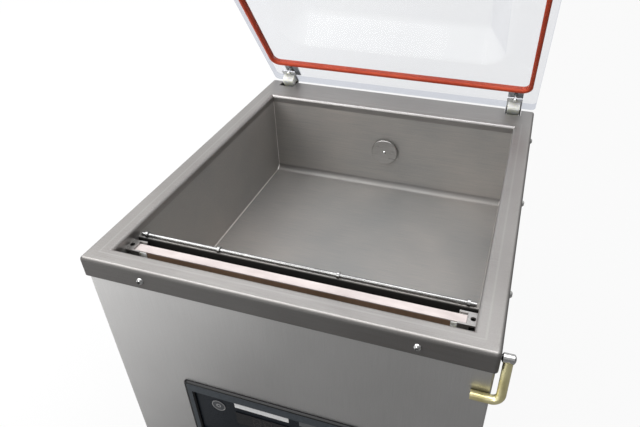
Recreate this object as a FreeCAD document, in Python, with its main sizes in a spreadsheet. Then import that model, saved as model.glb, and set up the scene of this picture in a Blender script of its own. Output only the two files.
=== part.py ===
import FreeCAD, Part
import math
import os
import Sketcher
from FreeCAD import Placement, Rotation, Vector

# Countertop chamber vacuum sealer
# Millimetres, +Z up, front towards -Y, origin on the floor under the middle of the machine

doc = FreeCAD.newDocument("chamber_sealer")
sheet = doc.addObject("Spreadsheet::Sheet", "dims")

sizes = {
    # deck: the top frame with its folded skirt and the lip round the chamber mouth
    "origin_back": 8, "deck_width": 480, "deck_depth": 553, "deck_height": 440, "deck_sheet": 2,
    "deck_bend": 4.5, "through_cut": 13.5, "skirt_drop": 26.5, "lip_drop": 12, "mouth_front": 26,
    "mouth_side": 29, "mouth_rear": 69.5,
    # chamber tank
    "tank_depth": 150, "tank_sheet": 2, "tank_bend": 11,
    # cabinet shell and base
    "cab_side_inset": 2.2, "cab_end_inset": 4.5, "cab_sheet": 1.5, "cab_bend": 3, "cab_flange": 15,
    "pan_sheet": 2, "pan_flange": 22, "foot_height": 20, "foot_top_radius": 17, "foot_floor_radius": 14,
    "foot_inset": 48, "foot_stud_radius": 4, "foot_stud_length": 8, "rear_top_gap": 18,
    "louvre_length": 120, "louvre_width": 5, "louvre_pitch": 14, "louvre_column": 72,
    "louvre_height": 110, "louvre_count": 8,
    # skirt screws
    "screw_radius": 2, "screw_play": 0.1, "screw_head_radius": 4.5, "screw_head_height": 3.5,
    "screw_drop": 15, "screw_reach": 8, "side_screw_pitch": 184, "front_screw_inset": 80,
    "socket_radius": 2.3, "socket_deep": 2.4, "side_screw_first": 104, "rear_screw_head": 2.5,
    "rear_screw_margin": 8,
    # lid, drawn closed and then swung open about the hinge axis
    "lid_sheet": 12, "lid_gap": 5, "lid_side_overhang": 0.5, "lid_rear_overhang": 5, "lid_corner": 8,
    "lid_open": 54.3, "hinge_drop": 5, "dome_side": 50, "dome_front": 62, "dome_rear": 103,
    "dome_height": 44, "dome_taper": 34, "dome_corner": 46, "dome_wall": 9, "dome_blend": 12,
    # lid gasket
    "gasket_rear": 52.5, "gasket_side": 13.5, "gasket_nose": 3, "gasket_front": 13, "gasket_wide": 7,
    "gasket_sunk": 5, "gasket_play": 0.3, "gasket_corner": 14,
    # hinges
    "block_width": 20, "hinge_inset": 35, "block_front": 19.5, "block_round": 7, "slot_width": 27,
    "slot_front": 24, "slot_drop": 15, "leaf_width": 25, "leaf_sheet": 2, "leaf_reach": 28.5,
    "pin_radius": 4, "pin_play": 0.06, "ear_gap": 0.8, "ear_sheet": 2, "ear_round": 6, "ear_reach": 52,
    "bracket_width": 60, "bracket_sheet": 3, "bolt_radius": 2.5, "bolt_head_radius": 4,
    "bolt_head_height": 2.5, "bolt_front": 24, "bolt_gap": 1, "bolt_crown_radius": 2.8, "bolt_rear": 11,
    # seal bar and what carries it
    "bar_front": 47.7, "bar_end_gap": 10, "bar_wide": 12, "bar_tall": 30, "bar_drop": 16,
    "bar_cap_long": 16, "bar_cap_extra": 1, "bar_lift": 10, "band_wide": 6, "band_thick": 0.8,
    "tape_thick": 0.6, "piston_x": 120, "piston_radius": 5, "piston_play": 0.06, "cylinder_radius": 9,
    "collar_extra": 1.4, "cylinder_top_gap": 22, "guide_sheet": 2.5, "guide_play": 0.4, "guide_drop": 14,
    "guide_tab": 9, "guide_hole_radius": 3, "guide_hole_drop": 10,
    # bag rest behind the bar
    "rest_back": 70, "rest_sheet": 1.5, "rest_drop": 15, "rest_flange": 10, "rod_radius": 2.3,
    "rod_end_gap": 3, "rest_bend": 2.4, "clip_radius": 4.2, "clip_long": 3, "clip_gap": 0.4,
    # pressure strip under the lid's front
    "strip_wide": 11, "strip_end_gap": 8, "strip_tall": 6, "holder_wide": 16, "holder_wall": 2,
    "strip_gap": 0.6,
    # suction port
    "port_drop": 78.4, "port_radius": 23, "port_thick": 3, "port_stand": 4, "port_bridge_half": 18.4,
    "port_screw_radius": 3.15, "pipe_radius": 12, "pipe_wall": 1.5, "pipe_drop_radius": 9.6,
    "pipe_long": 30,
    # latch on the right side
    "latch_y": 11, "latch_drop": 13, "latch_reach": 14.5, "latch_stand": 0.5, "latch_radius": 5,
    "latch_neck_radius": 3, "latch_crown": 2, "latch_nut": 3, "latch_nut_rim": 0.5, "hook_wire": 5,
    "hook_out": 7.5, "hook_reach": 29.9, "hook_spigot": 2.5, "hook_arm": 53, "hook_bend": 9,
    "hook_rest_gap": 0.3,
    # control panel
    "panel_width": 284, "panel_tall": 124, "panel_drop": 186, "panel_corner": 6, "panel_proud": 3,
    "panel_deep": 14, "window_tall": 84, "window_side": 12.5, "window_drop": 20, "window_sink": 4,
    "panel_lip": 6, "panel_bevel": 1.8, "face_thick": 2, "key_radius": 10, "small_key_radius": 7.5,
    "key_play": 0.3, "key_proud": 0.8, "key_stem_radius": 3, "key_stem_long": 6, "key_travel": 0.6,
    "power_key_drop": 39, "power_key_side": 32.9, "key_pitch": 34, "key_first_x": -34, "key_row_drop": 82,
    "display_x": -33.7, "display_width": 76.6, "display_tall": 24, "display_drop": 54,
    "label_width": 76.6, "label_tall": 12, "label_drop": 27, "strip_left": 19, "strip_end": 4.5,
    "label_thick": 0.4, "display_thick": 1.2, "board_tall": 70, "board_side": 11.5, "chip_size": 20,
    "chip_pitch": 40, "board_thick": 1.6,
    # pump set on the base pan
    "pump_x": 55, "pump_y": 60, "pump_width": 150, "pump_deep": 170, "pump_tall": 150, "pump_foot": 14,
    "pump_foot_inset": 21, "pump_neck": 18, "rib_count": 5, "motor_radius": 70, "motor_long": 150,
    "motor_axis_height": 100, "fin_count": 20, "fin_tall": 6, "fin_thick": 3, "fin_end_gap": 15,
    "motor_foot_half": 49, "motor_foot_rise": 42, "shaft_bore": 75, "shaft_inside": 67.5,
    "terminal_long": 60, "terminal_wide": 54, "terminal_tall": 36, "cowl_long": 34, "cowl_wall": 2,
    "slit_half": 34.8, "fan_gap": 6, "hub_radius": 14, "blade_root": 10.5, "shaft_radius": 7,
    "shaft_play": 0.06, "fan_radius": 58, "fan_long": 16, "fan_blades": 7, "blade_thick": 2.5,
    "oil_box_tall": 190, "oil_box_long": 70, "sight_radius": 12, "sight_long": 5, "sight_height": 66.5,
    "plug_radius": 11, "plug_tall": 8, "drain_height": 18, "hose_radius": 14,
    # electrics
    "valve_x": -120, "valve_radius": 16, "valve_tall": 48, "valve_base_half": 19.2,
    "valve_base_tall": 19.2, "valve_port_height": 9.6, "valve_port_radius": 6.4, "transformer_wide": 90,
    "transformer_tall": 80, "core_deep": 33.75, "winding_inset": 18, "winding_front": 20.25,
    "winding_back": 54.75, "winding_end": 12, "inlet_side": 70, "inlet_height": 70, "inlet_wide": 48,
    "inlet_tall": 58, "inlet_flange": 2.5, "inlet_deep": 26, "mains_low": 7, "mains_half": 12.5,
    "mains_deep": 18.2, "mains_tall": 20.9, "contact_wide": 4, "contact_thick": 2, "contact_long": 11,
    "contact_pitch": 7, "contact_rise": 4, "rocker_wide": 20, "rocker_tall": 13, "rocker_swing": 12,
    "rocker_well_deep": 15.6, "rocker_deep": 6.5, "rocker_root": 3.9, "rocker_dish": 4.55,
    "rocker_height": 42.9, "pivot_sunk": 3.25, "rocker_play": 0.4, "sensor_x": 60, "sensor_radius": 6,
    "sensor_long": 40, "sensor_inset": 28.8, "sensor_nut_radius": 9.6,
}


# A size carries its number and the text of the expression that binds a property to the sheet
class Size:
    def __init__(self, number, text):
        self.number = number
        self.text = text

    def join(self, other, sign, number):
        return Size(number, "(%s %s %s)" % (self.text, sign, other.text))

    def __add__(self, other):
        other = sized(other)
        return self.join(other, "+", self.number + other.number)

    def __sub__(self, other):
        other = sized(other)
        return self.join(other, "-", self.number - other.number)

    def __mul__(self, other):
        other = sized(other)
        return self.join(other, "*", self.number * other.number)

    def __truediv__(self, other):
        other = sized(other)
        return self.join(other, "/", self.number / other.number)

    def __rsub__(self, other):
        return sized(other) - self

    def __neg__(self):
        return sized(0) - self

    __radd__ = __add__
    __rmul__ = __mul__


def sized(value):
    return value if isinstance(value, Size) else Size(float(value), repr(float(value)))


class Dims:
    pass


d = Dims()
for row, (alias, number) in enumerate(sizes.items(), start=1):
    sheet.set("A%d" % row, alias)
    sheet.set("B%d" % row, str(number))
    sheet.setAlias("B%d" % row, alias)
    setattr(d, alias, Size(float(number), "dims." + alias))
doc.recompute()

nodes = []


def node(thing, label):
    thing.Label = label
    nodes.append(thing)
    return thing


def bind(thing, prop, value):
    value = sized(value)
    thing.setExpression(prop, value.text)


def place(thing, x, y, z):
    bind(thing, "Placement.Base.x", x)
    bind(thing, "Placement.Base.y", y)
    bind(thing, "Placement.Base.z", z)


# Primitives bound to the sheet

def box(name, x, y, z):
    thing = doc.addObject("Part::Box", name)
    bind(thing, "Length", x[1] - x[0])
    bind(thing, "Width", y[1] - y[0])
    bind(thing, "Height", z[1] - z[0])
    place(thing, x[0], y[0], z[0])
    return thing


turns = {"x": Rotation(Vector(0, 1, 0), 90), "y": Rotation(Vector(1, 0, 0), -90), "z": Rotation()}


def cylinder(name, way, start, radius, length):
    thing = doc.addObject("Part::Cylinder", name)
    bind(thing, "Radius", radius)
    bind(thing, "Height", length)
    thing.Placement = Placement(Vector(), turns[way])
    place(thing, *start)
    return thing


def cone(name, way, start, first, last, length):
    thing = doc.addObject("Part::Cone", name)
    bind(thing, "Radius1", first)
    bind(thing, "Radius2", last)
    bind(thing, "Height", length)
    thing.Placement = Placement(Vector(), turns[way])
    place(thing, *start)
    return thing


def fuse(name, things):
    thing = doc.addObject("Part::MultiFuse", name)
    thing.Shapes = things
    thing.Refine = True
    return thing


def cut(name, base, tools):
    thing = doc.addObject("Part::Cut", name)
    thing.Base = base
    thing.Tool = tools[0] if len(tools) == 1 else fuse(name + "_tools", tools)
    return thing


def group(name, things):
    thing = doc.addObject("Part::Compound", name)
    thing.Links = things
    return thing


def rounded(name, base, radius, chosen):
    doc.recompute()
    thing = doc.addObject("Part::Fillet", name)
    thing.Base = base
    picked = [i for i, edge in enumerate(base.Shape.Edges, start=1) if chosen(edge)]
    thing.Edges = [(i, radius.number, radius.number) for i in picked]
    return thing


# Sketches and features of a PartDesign body

def new_body(name):
    return doc.addObject("PartDesign::Body", name)


def sketch(body, role, offset):
    offset = sized(offset)
    drawing = body.newObject("Sketcher::SketchObject", body.Name + "_sketch")
    plane = [item for item in body.Origin.OriginFeatures if item.Role == role][0]
    drawing.AttachmentSupport = [(plane, "")]
    drawing.MapMode = "FlatFace"
    drawing.AttachmentOffset = Placement(Vector(0, 0, offset.number), Rotation())
    drawing.setExpression("AttachmentOffset.Base.z", offset.text)
    return drawing


def pin_point(drawing, line, end, point):
    for kind, value in zip(("DistanceX", "DistanceY"), point):
        index = drawing.addConstraint(Sketcher.Constraint(kind, -1, 1, line, end, value.number))
        drawing.setExpression("Constraints[%d]" % index, value.text)


def polygon(drawing, points):
    points = [(sized(x), sized(y)) for x, y in points]
    corners = [Vector(x.number, y.number, 0) for x, y in points]
    lines = [drawing.addGeometry(Part.LineSegment(a, b)) for a, b in zip(corners, corners[1:] + corners[:1])]
    for first, second in zip(lines, lines[1:] + lines[:1]):
        drawing.addConstraint(Sketcher.Constraint("Coincident", first, 2, second, 1))
    for line, point in zip(lines, points):
        pin_point(drawing, line, 1, point)


def rectangle(drawing, x, y):
    polygon(drawing, [(x[0], y[0]), (x[1], y[0]), (x[1], y[1]), (x[0], y[1])])


def circle(drawing, x, y, radius):
    x, y, radius = sized(x), sized(y), sized(radius)
    ring = drawing.addGeometry(Part.Circle(Vector(x.number, y.number, 0), Vector(0, 0, 1), radius.number))
    pin_point(drawing, ring, 3, (x, y))
    index = drawing.addConstraint(Sketcher.Constraint("Radius", ring, radius.number))
    drawing.setExpression("Constraints[%d]" % index, radius.text)


def pad(body, drawing, length, taper=None):
    feature = body.newObject("PartDesign::Pad", body.Name + "_pad")
    feature.Profile = drawing
    bind(feature, "Length", length)
    if taper is not None:
        bind(feature, "TaperAngle", taper)
    doc.recompute()
    return feature


def pocket(body, drawing, length=None, backwards=False, taper=None):
    before = body.Shape.Volume
    feature = body.newObject("PartDesign::Pocket", body.Name + "_pocket")
    feature.Profile = drawing
    feature.Reversed = backwards
    if length is None:
        feature.Type = "ThroughAll"
    else:
        bind(feature, "Length", length)
    if taper is not None:
        bind(feature, "TaperAngle", taper)
    doc.recompute()
    if body.Shape.Volume > before - 1:
        raise ValueError("a pocket of %s cuts nothing" % body.Label)
    return feature


def fillet(body, radius, chosen):
    base = body.Tip
    names = ["Edge%d" % i for i, edge in enumerate(base.Shape.Edges, start=1) if chosen(edge)]
    feature = body.newObject("PartDesign::Fillet", body.Name + "_fillet")
    feature.Base = (base, names)
    bind(feature, "Radius", radius)
    doc.recompute()
    return feature


near = 1e-3


def upright(edge):
    box_of = edge.BoundBox
    return box_of.XLength < near and box_of.YLength < near


def along_x(edge):
    box_of = edge.BoundBox
    return box_of.YLength < near and box_of.ZLength < near


def along_y(edge):
    box_of = edge.BoundBox
    return box_of.XLength < near and box_of.ZLength < near


def level(edge, height):
    box_of = edge.BoundBox
    return box_of.ZLength < near and abs(box_of.ZMin - height.number) < near


# Places shared by the pieces
half_width = d.deck_width / 2
front_y = -d.deck_depth / 2 - d.origin_back
rear_y = front_y + d.deck_depth
deck_top = d.deck_height
deck_low = deck_top - d.skirt_drop
mouth_x = half_width - d.mouth_side
mouth_y = (front_y + d.mouth_front, rear_y - d.mouth_rear)
tank_top = deck_top - d.lip_drop
tank_floor = deck_top - d.tank_depth
cab_x = half_width - d.cab_side_inset
cab_y = (front_y + d.cab_end_inset, rear_y - d.cab_end_inset)
cab_top = deck_top - d.deck_sheet
pan_top = d.foot_height + d.pan_sheet
hinge_y = rear_y
hinge_z = deck_top - d.hinge_drop
lid_under = deck_top + d.lid_gap
lid_top = lid_under + d.lid_sheet
screw_z = deck_top - d.screw_drop
screw_hole = d.screw_radius + d.screw_play
lid_half = half_width + d.lid_side_overhang
hinge_x = half_width - d.hinge_inset
gasket_half = half_width - d.gasket_side
bar_half = mouth_x - d.bar_end_gap
rod_half = mouth_x - d.rod_end_gap
strip_half = mouth_x - d.strip_end_gap
hook_x = half_width + d.hook_out
hook_tip = hook_x - d.hook_reach
front_screw_x = half_width - d.front_screw_inset
window_half = d.panel_width / 2 - d.window_side
board_half = window_half - d.board_side
power_key_x = d.power_key_side - window_half
inlet_x = d.inlet_side - half_width
latch_place = (front_y + d.latch_y, deck_top - d.latch_drop)
side_screws = [front_y + d.side_screw_first + d.side_screw_pitch * step for step in (0, 1, 2)]


def latch_hole(body):
    drawing = sketch(body, "YZ_Plane", half_width + d.deck_sheet)
    circle(drawing, latch_place[0], latch_place[1], d.latch_neck_radius + d.screw_play)
    pocket(body, drawing, d.through_cut)


# Deck: a folded frame, an upside-down channel that runs round the chamber mouth

def make_deck():
    body = new_body("deck_body")
    outline = sketch(body, "XY_Plane", deck_low)
    rectangle(outline, (-half_width, half_width), (front_y, rear_y))
    pad(body, outline, d.skirt_drop)
    fillet(body, d.deck_bend, lambda edge: upright(edge) or level(edge, deck_top))
    channel = sketch(body, "XY_Plane", deck_low)
    inner = half_width - d.deck_sheet
    rectangle(channel, (-inner, inner), (front_y + d.deck_sheet, rear_y - d.deck_sheet))
    lip = mouth_x + d.deck_sheet
    rectangle(channel, (-lip, lip), (mouth_y[0] - d.deck_sheet, mouth_y[1] + d.deck_sheet))
    pocket(body, channel, d.skirt_drop - d.deck_sheet, backwards=True)
    mouth = sketch(body, "XY_Plane", deck_low)
    rectangle(mouth, (-mouth_x, mouth_x), mouth_y)
    pocket(body, mouth, backwards=True)
    under_lip = sketch(body, "XY_Plane", deck_low)
    rectangle(under_lip, (-lip, lip), (mouth_y[0] - d.deck_sheet, mouth_y[1] + d.deck_sheet))
    pocket(body, under_lip, d.skirt_drop - d.lip_drop, backwards=True)

    def mouth_edge(edge):
        box_of = edge.BoundBox
        inside = box_of.XMax < mouth_x.number + near and box_of.XMin > -mouth_x.number - near
        return inside and level(edge, deck_top)

    fillet(body, d.deck_bend, mouth_edge)
    slots = sketch(body, "XY_Plane", deck_top)
    for side in (-1, 1):
        middle = hinge_x * side
        rectangle(slots, (middle - d.slot_width / 2, middle + d.slot_width / 2),
                  (hinge_y - d.slot_front, rear_y + d.deck_sheet))
    pocket(body, slots, d.slot_drop)
    front_holes = sketch(body, "XZ_Plane", d.deck_sheet - front_y)
    for side in (-1, 1):
        circle(front_holes, front_screw_x * side, screw_z, screw_hole)
    pocket(body, front_holes, d.through_cut)
    side_holes = sketch(body, "YZ_Plane", half_width + d.deck_sheet)
    for y in side_screws:
        circle(side_holes, y, screw_z, screw_hole)
    pocket(body, side_holes)
    latch_hole(body)
    return node(body, "deck")


# Cabinet: front and sides folded from one sheet, with flanges that take the rear panel

def make_cabinet_wrap():
    body = new_body("cabinet_body")
    plan = sketch(body, "XY_Plane", d.foot_height)
    front, rear = cab_y
    rear_face = rear - d.cab_sheet
    inside = cab_x - d.cab_sheet
    flange = cab_x - d.cab_flange
    flange_y = rear_face - d.cab_sheet
    front_inside = front + d.cab_sheet
    right = [(cab_x, front), (cab_x, rear_face), (flange, rear_face), (flange, flange_y), (inside, flange_y),
             (inside, front_inside)]
    left = [(-x, y) for x, y in reversed(right)]
    polygon(plan, right + left)
    pad(body, plan, cab_top - d.foot_height)

    def outer_fold(edge):
        return upright(edge) and abs(abs(edge.BoundBox.XMin) - cab_x.number) < near

    def inner_fold(edge):
        return upright(edge) and abs(abs(edge.BoundBox.XMin) - inside.number) < near

    fillet(body, d.cab_bend, outer_fold)
    fillet(body, d.cab_bend - d.cab_sheet, inner_fold)
    window = sketch(body, "XZ_Plane", -front_y)
    panel_top = deck_top - d.panel_drop
    half_panel = d.panel_width / 2 - d.panel_lip
    window_z = (panel_top - d.panel_tall + d.panel_lip, panel_top - d.panel_lip)
    rectangle(window, (-half_panel, half_panel), window_z)
    pocket(body, window, d.through_cut)
    front_holes = sketch(body, "XZ_Plane", -front_y)
    for side in (-1, 1):
        circle(front_holes, front_screw_x * side, screw_z, screw_hole)
    pocket(body, front_holes, d.through_cut)
    side_holes = sketch(body, "YZ_Plane", half_width)
    for y in side_screws:
        circle(side_holes, y, screw_z, screw_hole)
    pocket(body, side_holes)
    latch_hole(body)
    rear_holes = sketch(body, "XZ_Plane", -rear_y)
    for x, z in rear_screw_places():
        circle(rear_holes, x, z, screw_hole)
    pocket(body, rear_holes, d.through_cut, backwards=True)
    return node(body, "cabinet_wrap")


def rear_screw_places():
    x = cab_x - d.rear_screw_margin
    low = pan_top + d.pan_flange + d.rear_screw_margin
    high = deck_low - d.rear_screw_margin
    return [(x * side, z) for side in (-1, 1) for z in (low, (low + high) / 2, high)]


def make_rear_panel():
    body = new_body("rear_body")
    face = sketch(body, "XZ_Plane", -cab_y[1])
    side = cab_x - d.cab_bend
    rectangle(face, (-side, side), (d.foot_height, deck_top - d.rear_top_gap))
    pad(body, face, d.cab_sheet)
    holes = sketch(body, "XZ_Plane", -rear_y)
    for x, z in rear_screw_places():
        circle(holes, x, z, screw_hole)
    pocket(body, holes, d.through_cut, backwards=True)
    opening = sketch(body, "XZ_Plane", -rear_y)
    half_inlet = d.inlet_wide / 2 - d.inlet_flange
    rectangle(opening, (inlet_x - half_inlet, inlet_x + half_inlet),
              (d.inlet_height + d.inlet_flange, d.inlet_height + d.inlet_tall - d.inlet_flange))
    pocket(body, opening, d.through_cut, backwards=True)
    slot = sketch(body, "XZ_Plane", -rear_y)
    for middle in (-d.louvre_column, d.louvre_column):
        rectangle(slot, (middle - d.louvre_length / 2, middle + d.louvre_length / 2),
                  (d.louvre_height, d.louvre_height + d.louvre_width))
    first = pocket(body, slot, d.through_cut, backwards=True)
    rows = body.newObject("PartDesign::LinearPattern", "louvre_rows")
    rows.Originals = [first]
    rows.Direction = (slot, ["V_Axis"])
    rows.Mode = "Spacing"
    bind(rows, "Offset", d.louvre_pitch)
    bind(rows, "Occurrences", d.louvre_count)
    body.Tip = rows
    doc.recompute()
    return node(body, "rear_panel")


def make_rear_screws():
    screws = []
    for x, z in rear_screw_places():
        seat = (x, cab_y[1], z)
        head = cone("rear_head", "y", seat, d.screw_head_radius, d.screw_radius, d.rear_screw_head)
        shank = cylinder("rear_shank", "y", (x, cab_y[1] - d.screw_reach, z), d.screw_radius, d.screw_reach)
        screws.append(fuse("rear_screw", [head, shank]))
    return node(group("rear_screw_set", screws), "rear_panel_screws")


# Base pan: a tray whose turned-up edges stand inside the cabinet walls

def foot_places():
    x = cab_x - d.foot_inset
    return [(x * sx, y) for sx in (-1, 1) for y in (cab_y[0] + d.foot_inset, cab_y[1] - d.foot_inset)]


def make_base_pan():
    body = new_body("pan_body")
    floor = sketch(body, "XY_Plane", d.foot_height)
    inside = cab_x - d.cab_sheet
    low_y = cab_y[0] + d.cab_sheet
    high_y = cab_y[1] - d.cab_sheet * 2
    rectangle(floor, (-inside, inside), (low_y, high_y))
    pad(body, floor, d.pan_sheet + d.pan_flange)
    fillet(body, d.cab_bend - d.cab_sheet, upright)
    tray = sketch(body, "XY_Plane", pan_top + d.pan_flange)
    tray_half = inside - d.pan_sheet
    rectangle(tray, (-tray_half, tray_half), (low_y + d.pan_sheet, high_y - d.pan_sheet))
    pocket(body, tray, d.pan_flange)
    studs = sketch(body, "XY_Plane", pan_top)
    for x, y in foot_places():
        circle(studs, x, y, d.foot_stud_radius + d.screw_play)
    pocket(body, studs, d.pan_sheet * 2)
    vents = sketch(body, "XY_Plane", pan_top)
    rectangle(vents, (-d.louvre_length / 2, d.louvre_length / 2), (cab_y[0] + d.foot_inset,
              cab_y[0] + d.foot_inset + d.louvre_width))
    first = pocket(body, vents, d.pan_sheet * 2)
    rows = body.newObject("PartDesign::LinearPattern", "vent_rows")
    rows.Originals = [first]
    rows.Direction = (vents, ["V_Axis"])
    rows.Mode = "Spacing"
    bind(rows, "Offset", d.louvre_pitch)
    bind(rows, "Occurrences", d.louvre_count)
    body.Tip = rows
    doc.recompute()
    return node(body, "base_pan")


def make_feet():
    feet = []
    for x, y in foot_places():
        pad_cone = cone("foot_pad", "z", (x, y, 0), d.foot_floor_radius, d.foot_top_radius, d.foot_height)
        stud = cylinder("foot_stud", "z", (x, y, d.foot_height), d.foot_stud_radius, d.foot_stud_length)
        feet.append(fuse("foot", [pad_cone, stud]))
    return node(group("feet", feet), "rubber_feet")


# Button-head screws that hold the skirt to the cabinet, with a hex socket in each head

def skirt_screw_places():
    places = [("y", (front_screw_x * side, front_y, screw_z), -1) for side in (-1, 1)]
    for side in (-1, 1):
        places += [("x", (half_width * side, y, screw_z), side) for y in side_screws]
    return places


def make_skirt_screws():
    radius, tall = d.screw_head_radius.number, d.screw_head_height.number
    ball = (radius ** 2 + tall ** 2) / (2 * tall)
    head = Part.makeSphere(ball, Vector(0, 0, tall - ball)).common(Part.makeCylinder(radius, tall))
    shank = Part.makeCylinder(d.screw_radius.number, d.screw_reach.number, Vector(), Vector(0, 0, -1))
    sixth = math.pi / 3
    wide = d.socket_radius.number
    corners = [Vector(wide * math.cos(sixth * i), wide * math.sin(sixth * i), tall) for i in range(7)]
    socket = Part.Face(Part.makePolygon(corners)).extrude(Vector(0, 0, -d.socket_deep.number))
    screw = head.fuse(shank).removeSplitter().cut(socket)
    screws = []
    for way, seat, outwards in skirt_screw_places():
        axis = (Vector(1, 0, 0) if way == "x" else Vector(0, 1, 0)) * outwards
        one = screw.copy()
        spot = Vector(*[sized(value).number for value in seat])
        one.Placement = Placement(spot, Rotation(Vector(0, 0, 1), axis))
        screws.append(one)
    thing = doc.addObject("Part::Feature", "skirt_screw_set")
    thing.Shape = Part.makeCompound(screws)
    return node(thing, "skirt_screws")


# Tank: front, floor and back bent from one sheet, closed by two flat end plates

def make_tank():
    body = new_body("tank_body")
    profile = sketch(body, "YZ_Plane", -mouth_x)
    front, rear = mouth_y
    wall = d.tank_sheet
    outside = tank_floor - wall
    polygon(profile, [
        (front - wall, tank_top), (front - wall, outside), (rear + wall, outside), (rear + wall, tank_top),
        (rear, tank_top), (rear, tank_floor), (front, tank_floor), (front, tank_top)])
    pad(body, profile, mouth_x * 2)
    fillet(body, d.tank_bend, lambda edge: along_x(edge) and level(edge, tank_floor))
    fillet(body, d.tank_bend + wall, lambda edge: along_x(edge) and level(edge, tank_floor - wall))
    port = sketch(body, "XZ_Plane", -rear - wall * 2)
    circle(port, 0, deck_top - d.port_drop, d.pipe_radius)
    pocket(body, port, wall * 4, backwards=True)
    node(body, "tank_wrap")
    for side, label in ((-1, "tank_end_left"), (1, "tank_end_right")):
        plate = new_body(label + "_body")
        start = mouth_x if side > 0 else -mouth_x - wall
        outline = sketch(plate, "YZ_Plane", start)
        rectangle(outline, (front - wall, rear + wall), (tank_floor - wall, tank_top))
        pad(plate, outline, wall)
        fillet(plate, d.tank_bend + wall, lambda edge: along_x(edge) and level(edge, tank_floor - wall))
        node(plate, label)


def make_suction():
    x, z = sized(0), deck_top - d.port_drop
    rear = mouth_y[1]
    disc_y = rear - d.port_stand - d.port_thick
    disc = cylinder("port_disc", "y", (x, disc_y, z), d.port_radius, d.port_thick)
    stem = cylinder("port_stem", "y", (x, disc_y + d.port_thick, z), d.bolt_head_radius, d.port_stand)
    bridge = box("port_bridge", (-d.port_bridge_half, d.port_bridge_half),
                 (rear - d.port_stand, rear), (z - d.bolt_radius, z + d.bolt_radius))
    blank = fuse("port_blank", [disc, stem, bridge])
    hole = cylinder("port_hole", "y", (x, disc_y, z), screw_hole, d.port_thick + d.port_stand)
    holed = cut("port_holed", blank, [hole])

    def front_rim(edge):
        box_of = edge.BoundBox
        return abs(box_of.YMax - disc_y.number) < near and box_of.XLength > d.port_radius.number

    node(rounded("port_round", holed, d.port_thick / 3, front_rim), "suction_cover")
    head = cone("port_screw_head", "y", (x, disc_y - d.screw_radius, z), d.screw_radius, d.port_screw_radius,
                d.screw_radius)
    shank = cylinder("port_screw_shank", "y", (x, disc_y, z), d.screw_radius, d.port_thick + d.port_stand)
    node(fuse("port_screw", [head, shank]), "suction_screw")
    start = (x, rear + d.tank_sheet, z)
    outer = cylinder("pipe_outer", "y", start, d.pipe_radius + d.pipe_wall, d.pipe_long)
    inner = cylinder("pipe_inner", "y", start, d.pipe_radius, d.pipe_long - d.pipe_wall)
    drop = cylinder("pipe_drop", "z", (x, rear + d.tank_sheet + d.pipe_long / 2, z - d.pipe_long),
                    d.pipe_drop_radius, d.pipe_long)
    node(cut("pipe", fuse("pipe_blank", [outer, drop]), [inner]), "suction_pipe")


# Hinges: an ivory block under the lid turns on a pin held by two ears below the deck

def make_hinge(side, label):
    middle = hinge_x * side
    half_block = d.block_width / 2
    leaf_low = lid_under - d.leaf_sheet
    body = new_body("hinge_block_" + label + "_body")
    profile = sketch(body, "YZ_Plane", middle - half_block)
    low = hinge_z - d.block_round
    polygon(profile, [(hinge_y - d.block_front, low), (hinge_y + d.block_round, low),
                      (hinge_y + d.block_round, leaf_low), (hinge_y - d.block_front, leaf_low)])
    pad(body, profile, d.block_width)
    fillet(body, d.block_round - near, lambda edge: along_x(edge) and level(edge, low)
           and edge.BoundBox.YMin > hinge_y.number)
    fillet(body, d.bolt_radius, lambda edge: along_x(edge) and level(edge, low)
           and edge.BoundBox.YMin < hinge_y.number - d.block_round.number)
    bore = sketch(body, "YZ_Plane", middle + half_block)
    circle(bore, hinge_y, hinge_z, d.pin_radius + d.pin_play)
    pocket(body, bore)
    screw_bore = sketch(body, "XY_Plane", leaf_low)
    circle(screw_bore, middle, hinge_y - d.bolt_rear, d.bolt_radius)
    pocket(body, screw_bore, d.block_round)
    lid_piece(body, "hinge_block_" + label)

    plates = []
    for start, reach in ((leaf_low, d.leaf_reach), (lid_top, d.leaf_reach + d.bolt_rear)):
        plates.append(box("leaf", (middle - d.leaf_width / 2, middle + d.leaf_width / 2),
                          (hinge_y - reach, hinge_y + d.lid_rear_overhang - d.leaf_sheet),
                          (start, start + d.leaf_sheet)))
    holes = [cylinder("leaf_hole", "z", (middle, hinge_y - back, leaf_low), d.bolt_radius,
                      d.lid_sheet + d.leaf_sheet * 2) for back in (d.bolt_front, d.bolt_rear)]
    leaves = cut("leaf_pair", group("leaf_plates", plates), holes)

    far = half_block + d.ear_gap
    ears = []
    for way in (-1, 1):
        start = middle + far if way > 0 else middle - far - d.ear_sheet
        ear = box("ear", (start, start + d.ear_sheet), (hinge_y - d.ear_reach, hinge_y),
                  (hinge_z - d.ear_round, cab_top - d.gasket_play))
        nose = cylinder("ear_nose", "x", (start, hinge_y, hinge_z), d.ear_round, d.ear_sheet)
        ears += [ear, nose]
    web = box("bracket_web", (middle - d.bracket_width / 2, middle + d.bracket_width / 2),
              (hinge_y - d.ear_reach, hinge_y - d.slot_front - d.bracket_sheet),
              (cab_top - d.bracket_sheet, cab_top))
    blank = fuse("bracket_blank", ears + [web])
    reach = far + d.ear_sheet
    bore_tool = cylinder("bracket_bore", "x", (middle - reach, hinge_y, hinge_z), d.pin_radius, reach * 2)
    node(cut("hinge_bracket", blank, [bore_tool]), "hinge_bracket_" + label)
    pin = cylinder("hinge_pin", "x", (middle - reach, hinge_y, hinge_z), d.pin_radius, reach * 2)
    return leaves, pin


def make_hinges():
    pairs = [make_hinge(side, label) for side, label in ((-1, "left"), (1, "right"))]
    lid_piece(group("leaf_set", [leaves for leaves, pin in pairs]), "hinge_leaves")
    node(group("pin_set", [pin for leaves, pin in pairs]), "hinge_pins")


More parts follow.
